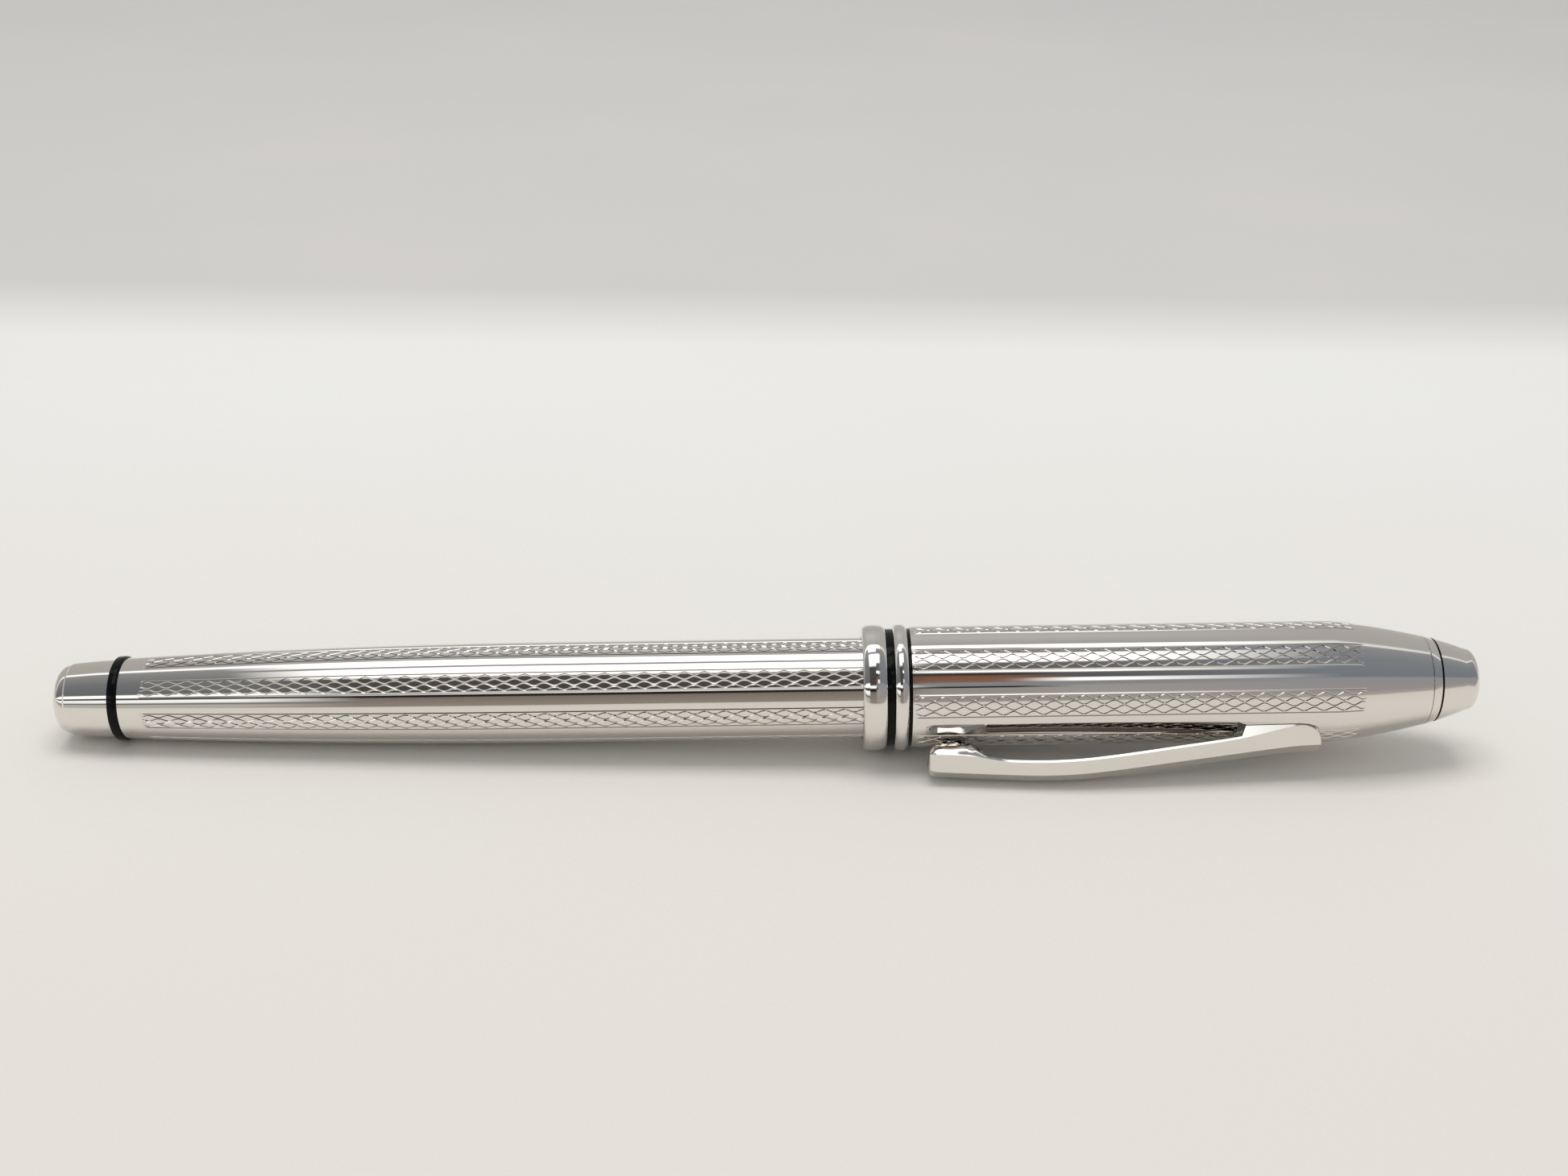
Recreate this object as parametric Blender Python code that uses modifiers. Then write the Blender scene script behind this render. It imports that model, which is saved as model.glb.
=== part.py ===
"""Capped rollerball pen: barrel, writing section, refill, cap and clip.

The pen lies along +X with the flat face of its tail cap at the origin. Every length below
is in millimetres and is turned into metres by MM. A turned piece is a profile of
(distance from its own rear face, radius) points, spun about the pen's axis.
"""
import math

import bpy
import bmesh

MM = 0.001

# ---- tail ----
TAIL_CAP_LENGTH = 6.1
TAIL_CAP_END_RADIUS = 3.62        # where the rounded edge starts
TAIL_CAP_ROOT_RADIUS = 4.1
TAIL_CAP_EDGE = 1.3               # radius of the rounded edge
TAIL_CAP_BREAK = 3.35             # where the side starts to slope more
TAIL_CAP_BREAK_RADIUS = 3.98
TAIL_RING_LENGTH = 0.95
TAIL_RING_RADIUS = 4.46
TAIL_RING_EDGE = 0.22

# ---- barrel ----
BARREL_LENGTH = 84.8              # rear face to front face
BARREL_RADIUS = 5.32
BARREL_TAIL_RADIUS = 4.25
BARREL_TAPER_LENGTH = 46.0
BARREL_TAPER_POWER = 2.1
BARREL_WALL = 0.5
BARREL_NECK_LENGTH = 5.5          # slimmer front end, hidden by the cap
BARREL_NECK_STEP = 0.17           # how much slimmer its radius is
BARREL_COVERED = 7.5              # how far the barrel goes into the cap
NECK_RISE = 0.2                   # length of the slope from the neck to the full radius

# ---- writing section ----
BUSH_LENGTH = 8.0
BUSH_WALL = 0.5
TRIM_LENGTH = 1.25
TRIM_STEP = 0.02                  # how far it sits below the barrel
O_RING_SECTION_RADIUS = 0.4
GRIP_LENGTH = 25.7
GRIP_REAR_WALL = 0.65
GRIP_FRONT_WALL = 0.33
GRIP_SHOULDER_LENGTH = 2.7
GROOVE_LENGTH = 1.4               # snap ring's groove
GROOVE_DEPTH = 0.6
GRIP_BEAD_LENGTH = 1.2
GRIP_BEAD_SLOPE = 0.6             # length of the slope in front of the bead
GRIP_WAIST_AT = 0.6               # waist, as a share of the length in front of the bead
GRIP_WAIST_DROP = 0.62            # and of the fall in radius
GRIP_CHAMFER = 0.2
COUPLING_LENGTH = 15.6
COUPLING_IN_GRIP = 4.8
NOSE_LENGTH = 10.9
NOSE_FRONT_RADIUS = 1.75
NOSE_SWELL_AT = 0.55              # fullest point of the cone, as a share of its length
NOSE_SWELL = 0.76                 # and of its rear radius
NOSE_CHAMFER = 0.12
NOSE_BORE_SLOPE = 0.3             # slope between the spigot's bore and the shoulder's bore
NOSE_SPIGOT_LENGTH = 2.5
NOSE_SPIGOT_WALL = 0.42
SNAP_RING_LENGTH = 0.9
SNAP_RING_PROUD = 0.1
SNAP_RING_WALL = 0.62
SNAP_RING_CROWN = 0.12
SNAP_RING_GAP_ANGLE = 24.0

# ---- refill ----
REFILL_RADIUS = 3.0
REFILL_WALL = 0.5
REFILL_GAP = 0.18                 # refill to the section's bore
REFILL_PLUG_FLANGE = 1.25
REFILL_PLUG_SPIGOT = 2.8
REFILL_TIP_SPIGOT = 3.0
REFILL_TIP_SHOULDER_RADIUS = 2.6
REFILL_TIP_SHOULDER = 3.0
REFILL_TIP_CONE = 4.0
REFILL_TIP_STEM_RADIUS = 1.15
REFILL_TIP_STEM = 5.5
REFILL_TIP_POINT = 2.9
REFILL_TIP_POINT_RADIUS = 0.56
REFILL_TIP_SHOWS = 2.35           # socket end past the nose cone
STEM_GAP = 0.15                   # refill tip to the nose cone's bore
BALL_RADIUS = 0.35
BALL_SHOWS = 0.35                 # how far the ball stands out of its socket
PLUG_CHAMFER = 0.3

# ---- spring and studs ----
SPRING_LENGTH = 12.0              # spring seat to refill plug
SPRING_INSET = 0.5                # middle of the wire inside the refill's side
SPRING_WIRE_RADIUS = 0.25
SPRING_TURNS = 6
SEAT_LENGTH = 3.0
SEAT_INSET = 0.4                  # seat to the barrel's wall
STUD_RADIUS = 1.25
STUD_IN_END_PIECE = 2.6           # depth of each stud in its end piece
END_WALL = 0.8                    # closed end of the barrel and of the cap tube

# ---- cap ----
LIP_RING_LENGTH = 2.5
LIP_RING_PROUD = 0.29
UPPER_RING_LENGTH = 1.5
UPPER_RING_PROUD = 0.32
RING_EDGE_STEP = 0.18             # each ring's edges below the cap tube
RING_CROWN_POWER = 2.6            # 2 is an ellipse, more is squarer
BAND_LENGTH = 0.65
GASKET_LENGTH = 0.2
GASKET_STEP = 0.16
CAP_WALL = 0.45
TIP_ROOM = 1.5                    # writing tip to the inner cap
TAPER_OVER_LINER = 2.5            # start of the taper behind the inner cap's front
CAP_TAPER_LENGTH = 10.2
CAP_TAPER_POWER = 1.45
CAP_TAPER_DROP = 1.64
SLEEVE_PAST_BARREL = 2.0
SLEEVE_WALL = 0.41
SLEEVE_LEAD = 0.2                 # chamfer's length at the mouth
SLEEVE_LEAD_OUTER = 0.15
SLEEVE_LEAD_INNER = 0.1
LINER_STEP = 0.43                 # slimmer front part, beside the clip's anchor
LINER_WALL = 0.4
LINER_END_WALL = 0.7
LINER_PAST_GRIP = 1.05            # wider rear end past the grip's shoulder
LINER_STEP_LENGTH = 0.4
LINER_TAPER_LENGTH = 4.6          # round the writing tip
LINER_TAPER_DROP = 0.9
LINER_BORE_DROP = 0.8
COLLAR_LENGTH = 0.95
COLLAR_DROP = 0.24
WASHER_LENGTH = 0.12
WASHER_INSET = 0.1
FINIAL_LENGTH = 4.3
FINIAL_STEP = 0.06
FINIAL_DROP = 1.14
FINIAL_EDGE = 1.0
FINIAL_SWELL_AT = 0.42            # fuller point of the side, as a share of its length
FINIAL_SWELL = 0.52               # and of the fall in radius that is left there
NUT_LENGTH = 2.2
NUT_ACROSS_CORNERS = 5.4
NUT_SIDES = 6
NUT_STUD_SHOWS = 1.0

# ---- clip ----
CLIP_ANGLE = -35.0                # direction of the clip from -Y, turned towards +Z
CLIP_END_FROM_RINGS = 1.6         # ball end to the rear of the cap tube
CLIP_ROOT_FROM_TAPER = 1.5        # root end to the start of the cap's taper
CLIP_ROOT_LENGTH = 7.9
CLIP_SLOPE_LENGTH = 20.5
CLIP_SLOPE_POWER = 1.6            # 1 is a straight slope, more flattens its outer end
CLIP_ROOT_HEIGHT = 1.55           # outer face above the cap, at the root
CLIP_ARM_HEIGHT = 4.3             # outer face above the cap, where the slope ends
CLIP_END_HEIGHT = 3.72            # outer face above the cap, at the ball end
CLIP_THICKNESS = 1.4
CLIP_ROOT_SINK = 0.75             # root block's sides below the cap's surface, before the seat
CLIP_ROOT_SLANT = 1.2             # length of the slant at the front of the root block
CLIP_BOW_LENGTH = 2.3             # rounded root end
CLIP_BOW_DROP = 0.55              # share of the width that is gone at its tip
CLIP_ROOT_WIDTH = 4.6
CLIP_END_WIDTH = 3.2
CLIP_ROOT_TOP_WIDTH = 1.5
CLIP_END_TOP_WIDTH = 1.2
CLIP_EDGE_HEIGHT = 0.45           # upright side under each bevelled face
CLIP_PAD_LENGTH = 6.5
CLIP_PAD_WIDTH = 4.1
CLIP_PAD_THICKNESS = 1.95
CLIP_PAD_TOUCH = 2.4              # line that touches the cap, from the ball end
CLIP_PAD_TOUCH_WIDTH = 0.9
CLIP_PAD_GAP = 0.12               # clip's pad to the cap
CLIP_END_ROUND = 0.4              # rounding of the ball end
CLIP_SEAT_PAST = 2.0              # seat cutter past each end of the root block
ANCHOR_TANG_LENGTH = 5.0
ANCHOR_TANG_WIDTH = 1.4
ANCHOR_PLATE_LENGTH = 6.4
ANCHOR_PLATE_WIDTH = 2.4
ANCHOR_PLATE_THICKNESS = 0.25

# ---- clearances ----
SEAT_GAP = 0.05                   # between pieces that are pressed or screwed together
RUN_GAP = 0.12                    # thread and turning fits, on the radius
SLIDE_GAP = 0.15                  # sliding fits, on the radius
FACE_GAP = 0.1                    # between faces that part in use

CUT_PAST = 1.0                    # how far a cutter reaches past what it cuts

# ---- edges ----
METAL_CHAMFER = 0.15
BRASS_CHAMFER = 0.3

# ---- roundness ----
OUTER_STEPS = 36
INNER_STEPS = 24
SMALL_STEPS = 16
EDGE_SEGMENTS = 4
RING_SEGMENTS = 5
SMALL_EDGE_SEGMENTS = 3
TAPER_SEGMENTS = 7
BORE_SEGMENTS = 5
SLOPE_SEGMENTS = 5
BOW_SEGMENTS = 3
O_RING_SIDES = 8
SPRING_POINTS_PER_TURN = 10
BALL_SEGMENTS = 12
BALL_RINGS = 8

# ---- places along the axis, from the tail face ----
X_TAIL_RING = TAIL_CAP_LENGTH + SEAT_GAP
X_BARREL = X_TAIL_RING + TAIL_RING_LENGTH + SEAT_GAP
X_BARREL_FRONT = X_BARREL + BARREL_LENGTH
X_TRIM = X_BARREL_FRONT + SEAT_GAP
X_O_RING = X_TRIM + TRIM_LENGTH + FACE_GAP + O_RING_SECTION_RADIUS
X_GRIP = X_O_RING + O_RING_SECTION_RADIUS + FACE_GAP
X_GRIP_FRONT = X_GRIP + GRIP_LENGTH
X_NOSE = X_GRIP_FRONT + SEAT_GAP
X_NOSE_FRONT = X_NOSE + NOSE_LENGTH
REFILL_TIP_LENGTH = (REFILL_TIP_SHOULDER + REFILL_TIP_CONE + REFILL_TIP_STEM
                     + REFILL_TIP_POINT)
X_REFILL_TIP_POINT = X_NOSE_FRONT + REFILL_TIP_SHOWS
X_REFILL_TIP = X_REFILL_TIP_POINT - REFILL_TIP_LENGTH
X_SEAT = X_BARREL + END_WALL + FACE_GAP
X_REFILL_PLUG = X_SEAT + SEAT_LENGTH + SPRING_LENGTH
X_REFILL_TUBE = X_REFILL_PLUG + REFILL_PLUG_FLANGE + SEAT_GAP
REFILL_TUBE_LENGTH = X_REFILL_TIP - SEAT_GAP - X_REFILL_TUBE
X_MOUTH = X_BARREL_FRONT - BARREL_COVERED
X_BAND = X_MOUTH + LIP_RING_LENGTH + SEAT_GAP
X_UPPER_RING = X_BAND + BAND_LENGTH + SEAT_GAP
X_GASKET = X_UPPER_RING + UPPER_RING_LENGTH + SEAT_GAP
X_CAP = X_GASKET + GASKET_LENGTH + SEAT_GAP
SLEEVE_LENGTH = BARREL_COVERED + SLEEVE_PAST_BARREL
X_LINER = X_MOUTH + SLEEVE_LENGTH + SEAT_GAP
GRIP_BEAD_END = GRIP_SHOULDER_LENGTH + GROOVE_LENGTH + GRIP_BEAD_LENGTH
LINER_SEAT_LENGTH = X_GRIP + GRIP_BEAD_END + LINER_PAST_GRIP - X_LINER
LINER_LENGTH = X_REFILL_TIP_POINT + BALL_SHOWS + TIP_ROOM + LINER_END_WALL - X_LINER
CAP_STRAIGHT_LENGTH = X_LINER + LINER_LENGTH - TAPER_OVER_LINER - X_CAP
CAP_LENGTH = CAP_STRAIGHT_LENGTH + CAP_TAPER_LENGTH
X_COLLAR = X_CAP + CAP_LENGTH + SEAT_GAP
X_WASHER = X_COLLAR + COLLAR_LENGTH + SEAT_GAP
X_FINIAL = X_WASHER + WASHER_LENGTH + SEAT_GAP
X_CLIP_ROOT = X_CAP + CAP_STRAIGHT_LENGTH - CLIP_ROOT_FROM_TAPER
CLIP_LENGTH = X_CLIP_ROOT - X_CAP - CLIP_END_FROM_RINGS

# ---- radii that follow from the fits ----
SLEEVE_BORE = BARREL_RADIUS + SLIDE_GAP
SLEEVE_OUTER = SLEEVE_BORE + SLEEVE_WALL
RING_BORE = SLEEVE_OUTER + SEAT_GAP
CAP_RADIUS = RING_BORE + CAP_WALL
CAP_END_RADIUS = CAP_RADIUS - CAP_TAPER_DROP
RING_EDGE_RADIUS = CAP_RADIUS - RING_EDGE_STEP
LINER_RADIUS = SLEEVE_OUTER - LINER_STEP
COLLAR_FRONT_RADIUS = CAP_END_RADIUS - COLLAR_DROP
FINIAL_ROOT_RADIUS = COLLAR_FRONT_RADIUS - FINIAL_STEP
FINIAL_END_RADIUS = FINIAL_ROOT_RADIUS - FINIAL_DROP
CLIP_PIVOT_RADIUS = CAP_RADIUS + SEAT_GAP
BARREL_NECK_RADIUS = BARREL_RADIUS - BARREL_NECK_STEP
BUSH_OUTER = BARREL_RADIUS - BARREL_WALL - SEAT_GAP
BUSH_BORE = BUSH_OUTER - BUSH_WALL
COUPLING_RADIUS = BUSH_BORE - RUN_GAP
SECTION_BORE = REFILL_RADIUS + REFILL_GAP
TRIM_RADIUS = BARREL_RADIUS - TRIM_STEP
TRIM_BORE = COUPLING_RADIUS + SLIDE_GAP
NOSE_SPIGOT_RADIUS = SECTION_BORE + NOSE_SPIGOT_WALL
GRIP_SHOULDER_RADIUS = BARREL_NECK_RADIUS
GRIP_REAR_RADIUS = COUPLING_RADIUS + SEAT_GAP + GRIP_REAR_WALL
GRIP_FRONT_RADIUS = NOSE_SPIGOT_RADIUS + SEAT_GAP + GRIP_FRONT_WALL
SNAP_RING_RADIUS = GRIP_SHOULDER_RADIUS + SNAP_RING_PROUD
SPRING_COIL_RADIUS = REFILL_RADIUS - SPRING_INSET
SEAT_RADIUS = BARREL_TAIL_RADIUS - BARREL_WALL - SEAT_INSET
STUD_HOLE = STUD_RADIUS + RUN_GAP

PEN = bpy.data.collections.new("rollerball_pen")
CUTTERS = bpy.data.collections.new("cutters")


def clear_scene():
    for obj in list(bpy.data.objects):
        bpy.data.objects.remove(obj, do_unlink=True)
    bpy.context.scene.collection.children.link(PEN)
    bpy.context.scene.collection.children.link(CUTTERS)


def make_material(name, color, roughness, metallic):
    material = bpy.data.materials.new(name)
    material.use_nodes = True
    shader = material.node_tree.nodes["Principled BSDF"]
    shader.inputs["Base Color"].default_value = (*color, 1.0)
    shader.inputs["Roughness"].default_value = roughness
    shader.inputs["Metallic"].default_value = metallic
    return material


def plating(name):
    return make_material(name, (0.80, 0.79, 0.76), 0.12, 1.0)


def black_lacquer(name):
    return make_material(name, (0.012, 0.012, 0.014), 0.18, 0.0)


def brass(name):
    return make_material(name, (0.72, 0.55, 0.28), 0.3, 1.0)


def axis_empty(name, x, parent=None):
    """An empty on the pen's axis whose local Z runs along the pen, towards the finial."""
    empty = bpy.data.objects.new(name, None)
    PEN.objects.link(empty)
    empty.empty_display_size = 0.01
    empty.parent = parent
    if parent is None:
        empty.rotation_euler = (0.0, math.pi / 2.0, 0.0)
        empty.location = (x * MM, 0.0, 0.0)
    else:
        empty.location = (0.0, 0.0, x * MM)
    return empty


def turned(name, axis, x, profile, steps, material, closed=True):
    """Spin a profile of (distance from x, radius) points about the pen's axis.

    The points run from the front of the piece, back along its outer side, and then,
    on a closed profile, forward again along its bore.
    """
    mesh = bpy.data.meshes.new(name)
    points = [(radius * MM, 0.0, z * MM) for z, radius in profile]
    edges = [(i, i + 1) for i in range(len(points) - 1)]
    if closed:
        edges.append((len(points) - 1, 0))
    mesh.from_pydata(points, edges, [])
    obj = bpy.data.objects.new(name, mesh)
    PEN.objects.link(obj)
    obj.parent = axis
    obj.location = (0.0, 0.0, x * MM)
    obj.data.materials.append(material)
    screw = obj.modifiers.new("Turn", "SCREW")
    screw.angle = 2.0 * math.pi
    screw.steps = steps
    screw.render_steps = steps
    screw.use_merge_vertices = True
    screw.merge_threshold = 1e-6
    screw.use_smooth_shade = True
    return obj


def add_cutter(obj):
    CUTTERS.objects.link(obj)
    PEN.objects.unlink(obj)
    obj.hide_render = True
    obj.display_type = "WIRE"


def cut(target, cutter, operation="DIFFERENCE"):
    boolean = target.modifiers.new("Cut " + cutter.name, "BOOLEAN")
    boolean.operation = operation
    boolean.object = cutter
    boolean.solver = "EXACT"


def box(name, low, high, material=None):
    """A box between two corners given in millimetres in the object's own frame."""
    mesh = bpy.data.meshes.new(name)
    bm = bmesh.new()
    bmesh.ops.create_cube(bm, size=1.0)
    size = [(h - l) * MM for l, h in zip(low, high)]
    middle = [(h + l) / 2.0 * MM for l, h in zip(low, high)]
    bmesh.ops.scale(bm, vec=size, verts=bm.verts)
    bmesh.ops.translate(bm, vec=middle, verts=bm.verts)
    bm.to_mesh(mesh)
    bm.free()
    obj = bpy.data.objects.new(name, mesh)
    PEN.objects.link(obj)
    if material:
        obj.data.materials.append(material)
    return obj


def rounded_edge(z_face, radius, edge, front=True, segments=EDGE_SEGMENTS):
    """Points of a quarter round between a flat face at z_face and a side at radius."""
    points = []
    for i in range(segments + 1):
        turn = math.pi / 2.0 * i / segments
        inward = edge * (1.0 - math.sin(turn))
        back = edge * (1.0 - math.cos(turn))
        z = z_face - back if front else z_face + back
        points.append((z, radius - inward))
    return points if front else points[::-1]


def crowned_ring(length, crown, edge_radius, bore):
    """Profile of a ring with a convex outer side, from its front face backwards."""
    sagitta = crown - edge_radius
    points = []
    for i in range(RING_SEGMENTS + 1):
        share = 1.0 - 2.0 * i / RING_SEGMENTS
        bulge = math.sqrt(max(0.0, 1.0 - abs(share) ** RING_CROWN_POWER))
        points.append((length * (1.0 + share) / 2.0, edge_radius + sagitta * bulge))
    return points + [(0.0, bore), (length, bore)]


def barrel_radius(x_from_rear):
    """Outer radius of the barrel: a convex taper at the tail, then a straight tube."""
    if x_from_rear >= BARREL_TAPER_LENGTH:
        return BARREL_RADIUS
    share = 1.0 - x_from_rear / BARREL_TAPER_LENGTH
    return BARREL_RADIUS - (BARREL_RADIUS - BARREL_TAIL_RADIUS) * share ** BARREL_TAPER_POWER


def cap_radius(x_from_rear):
    """Outer radius of the cap tube: straight, then a convex taper to the finial."""
    if x_from_rear <= CAP_STRAIGHT_LENGTH:
        return CAP_RADIUS
    share = min(1.0, (x_from_rear - CAP_STRAIGHT_LENGTH) / CAP_TAPER_LENGTH)
    return CAP_RADIUS - (CAP_RADIUS - CAP_END_RADIUS) * share ** CAP_TAPER_POWER


def steps_between(start, end, count):
    return [start + (end - start) * i / count for i in range(count + 1)]


# ---------------------------------------------------------------- barrel


def build_tail(axis):
    cap_profile = rounded_edge(0.0, TAIL_CAP_END_RADIUS, TAIL_CAP_EDGE, front=False)
    hole_end = TAIL_CAP_LENGTH - STUD_IN_END_PIECE - FACE_GAP
    outer = [(TAIL_CAP_LENGTH, STUD_HOLE), (TAIL_CAP_LENGTH, TAIL_CAP_ROOT_RADIUS)]
    slope = [(TAIL_CAP_BREAK, TAIL_CAP_BREAK_RADIUS)]
    bore = [(hole_end, 0.0), (hole_end, STUD_HOLE)]
    profile = bore + outer + slope + cap_profile + [(0.0, 0.0)]
    turned("tail_cap", axis, 0.0, profile, OUTER_STEPS, plating("tail cap plating"), closed=False)

    ring = rounded_edge(TAIL_RING_LENGTH, TAIL_RING_RADIUS, TAIL_RING_EDGE, True, SMALL_EDGE_SEGMENTS)
    ring += rounded_edge(0.0, TAIL_RING_RADIUS, TAIL_RING_EDGE, False, SMALL_EDGE_SEGMENTS)
    ring += [(0.0, STUD_HOLE), (TAIL_RING_LENGTH, STUD_HOLE)]
    turned("tail_ring", axis, X_TAIL_RING, ring, OUTER_STEPS, black_lacquer("tail ring lacquer"))

    start = TAIL_CAP_LENGTH - STUD_IN_END_PIECE
    length = X_SEAT + SEAT_LENGTH - start
    stud = [(length, 0.0), (length, STUD_RADIUS), (0.0, STUD_RADIUS), (0.0, 0.0)]
    turned("tail_stud", axis, start, stud, SMALL_STEPS, brass("tail stud brass"), closed=False)

    seat = [(SEAT_LENGTH, SEAT_RADIUS - BRASS_CHAMFER), (SEAT_LENGTH - BRASS_CHAMFER, SEAT_RADIUS),
            (0.0, SEAT_RADIUS), (0.0, STUD_HOLE), (SEAT_LENGTH, STUD_HOLE)]
    turned("spring_seat", axis, X_SEAT, seat, SMALL_STEPS, brass("spring seat brass"))


def build_barrel(axis):
    neck_start = BARREL_LENGTH - BARREL_NECK_LENGTH
    outer = [(BARREL_LENGTH, BARREL_NECK_RADIUS - METAL_CHAMFER),
             (BARREL_LENGTH - METAL_CHAMFER, BARREL_NECK_RADIUS), (neck_start, BARREL_NECK_RADIUS),
             (neck_start - NECK_RISE, BARREL_RADIUS)]
    taper = steps_between(BARREL_TAPER_LENGTH, 0.0, TAPER_SEGMENTS)
    outer += [(z, barrel_radius(z)) for z in taper]
    inner = [(0.0, STUD_HOLE), (END_WALL, STUD_HOLE)]
    bore_stations = steps_between(END_WALL, BARREL_TAPER_LENGTH, BORE_SEGMENTS)
    inner += [(z, barrel_radius(z) - BARREL_WALL) for z in bore_stations]
    inner += [(BARREL_LENGTH, BARREL_RADIUS - BARREL_WALL)]
    turned("barrel_shell", axis, X_BARREL, outer + inner, OUTER_STEPS, plating("barrel plating"))

    bush = [(BUSH_LENGTH, BUSH_OUTER), (0.0, BUSH_OUTER), (0.0, BUSH_BORE), (BUSH_LENGTH, BUSH_BORE)]
    turned("barrel_bush", axis, X_BARREL_FRONT - SEAT_GAP - BUSH_LENGTH, bush, INNER_STEPS,
           brass("bush brass"))


def build_spring(axis):
    """Round wire coil between the spring seat and the refill's rear plug."""
    start = X_SEAT + SEAT_LENGTH + FACE_GAP + SPRING_WIRE_RADIUS
    end = X_REFILL_PLUG - FACE_GAP - SPRING_WIRE_RADIUS
    count = SPRING_TURNS * SPRING_POINTS_PER_TURN
    curve = bpy.data.curves.new("refill_spring", "CURVE")
    curve.dimensions = "3D"
    spline = curve.splines.new("POLY")
    spline.points.add(count)
    for i in range(count + 1):
        turn = 2.0 * math.pi * i / SPRING_POINTS_PER_TURN
        z = start + (end - start) * i / count
        place = (SPRING_COIL_RADIUS * math.cos(turn), SPRING_COIL_RADIUS * math.sin(turn), z)
        spline.points[i].co = (*(v * MM for v in place), 1.0)
    curve.bevel_depth = SPRING_WIRE_RADIUS * MM
    curve.bevel_resolution = 1
    curve.use_fill_caps = True
    obj = bpy.data.objects.new("refill_spring", curve)
    PEN.objects.link(obj)
    obj.parent = axis
    curve.materials.append(make_material("spring steel", (0.6, 0.6, 0.62), 0.25, 1.0))


# ---------------------------------------------------------------- refill


def build_refill(axis):
    plastic = make_material("refill tube plastic", (0.10, 0.11, 0.14), 0.35, 0.0)
    bore = REFILL_RADIUS - REFILL_WALL
    tube = [(REFILL_TUBE_LENGTH, REFILL_RADIUS), (0.0, REFILL_RADIUS), (0.0, bore),
            (REFILL_TUBE_LENGTH, bore)]
    turned("refill_tube", axis, X_REFILL_TUBE, tube, SMALL_STEPS, plastic)

    spigot = bore - SEAT_GAP
    plug_end = REFILL_PLUG_FLANGE + SEAT_GAP + REFILL_PLUG_SPIGOT
    plug = [(plug_end, 0.0), (plug_end, spigot), (REFILL_PLUG_FLANGE, spigot),
            (REFILL_PLUG_FLANGE, REFILL_RADIUS), (PLUG_CHAMFER, REFILL_RADIUS),
            (0.0, REFILL_RADIUS - PLUG_CHAMFER),
            (0.0, 0.0)]
    turned("refill_plug", axis, X_REFILL_PLUG, plug, SMALL_STEPS,
           make_material("refill plug plastic", (0.75, 0.76, 0.78), 0.4, 0.0), closed=False)

    cone_end = REFILL_TIP_SHOULDER + REFILL_TIP_CONE
    stem_end = cone_end + REFILL_TIP_STEM
    socket = BALL_RADIUS + SEAT_GAP
    socket_depth = 2.0 * BALL_RADIUS - BALL_SHOWS + SEAT_GAP
    point = REFILL_TIP_LENGTH
    tip = [(point - socket_depth, 0.0), (point - socket_depth, socket), (point, socket),
           (point, REFILL_TIP_POINT_RADIUS), (stem_end, REFILL_TIP_STEM_RADIUS),
           (cone_end, REFILL_TIP_STEM_RADIUS), (REFILL_TIP_SHOULDER, REFILL_TIP_SHOULDER_RADIUS),
           (0.0, REFILL_TIP_SHOULDER_RADIUS), (0.0, spigot), (-REFILL_TIP_SPIGOT, spigot),
           (-REFILL_TIP_SPIGOT, 0.0)]
    turned("refill_tip", axis, X_REFILL_TIP, tip, SMALL_STEPS,
           make_material("refill tip steel", (0.7, 0.7, 0.7), 0.2, 1.0), closed=False)


def build_ball(axis):
    """The writing ball, a sphere in its socket."""
    mesh = bpy.data.meshes.new("tip_ball")
    bm = bmesh.new()
    bmesh.ops.create_uvsphere(bm, u_segments=BALL_SEGMENTS, v_segments=BALL_RINGS, radius=BALL_RADIUS * MM)
    bm.to_mesh(mesh)
    bm.free()
    mesh.shade_smooth()
    ball = bpy.data.objects.new("tip_ball", mesh)
    PEN.objects.link(ball)
    ball.parent = axis
    ball.location = (0.0, 0.0, (X_REFILL_TIP_POINT + BALL_SHOWS - BALL_RADIUS) * MM)
    mesh.materials.append(make_material("ball carbide", (0.3, 0.3, 0.32), 0.2, 1.0))


# ---------------------------------------------------------------- writing section


def build_trim(axis):
    trim = [(TRIM_LENGTH, TRIM_RADIUS - METAL_CHAMFER), (TRIM_LENGTH - METAL_CHAMFER, TRIM_RADIUS),
            (METAL_CHAMFER, TRIM_RADIUS), (0.0, TRIM_RADIUS - METAL_CHAMFER), (0.0, TRIM_BORE),
            (TRIM_LENGTH, TRIM_BORE)]
    turned("trim_ring", axis, X_TRIM, trim, OUTER_STEPS, plating("trim ring plating"))


def build_o_ring(axis):
    middle = COUPLING_RADIUS + FACE_GAP + O_RING_SECTION_RADIUS
    profile = []
    for i in range(O_RING_SIDES):
        turn = 2.0 * math.pi * i / O_RING_SIDES
        z = O_RING_SECTION_RADIUS * math.cos(turn)
        profile.append((z, middle + O_RING_SECTION_RADIUS * math.sin(turn)))
    turned("o_ring", axis, X_O_RING, profile, INNER_STEPS,
           make_material("o-ring rubber", (0.02, 0.02, 0.02), 0.6, 0.0))


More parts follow.
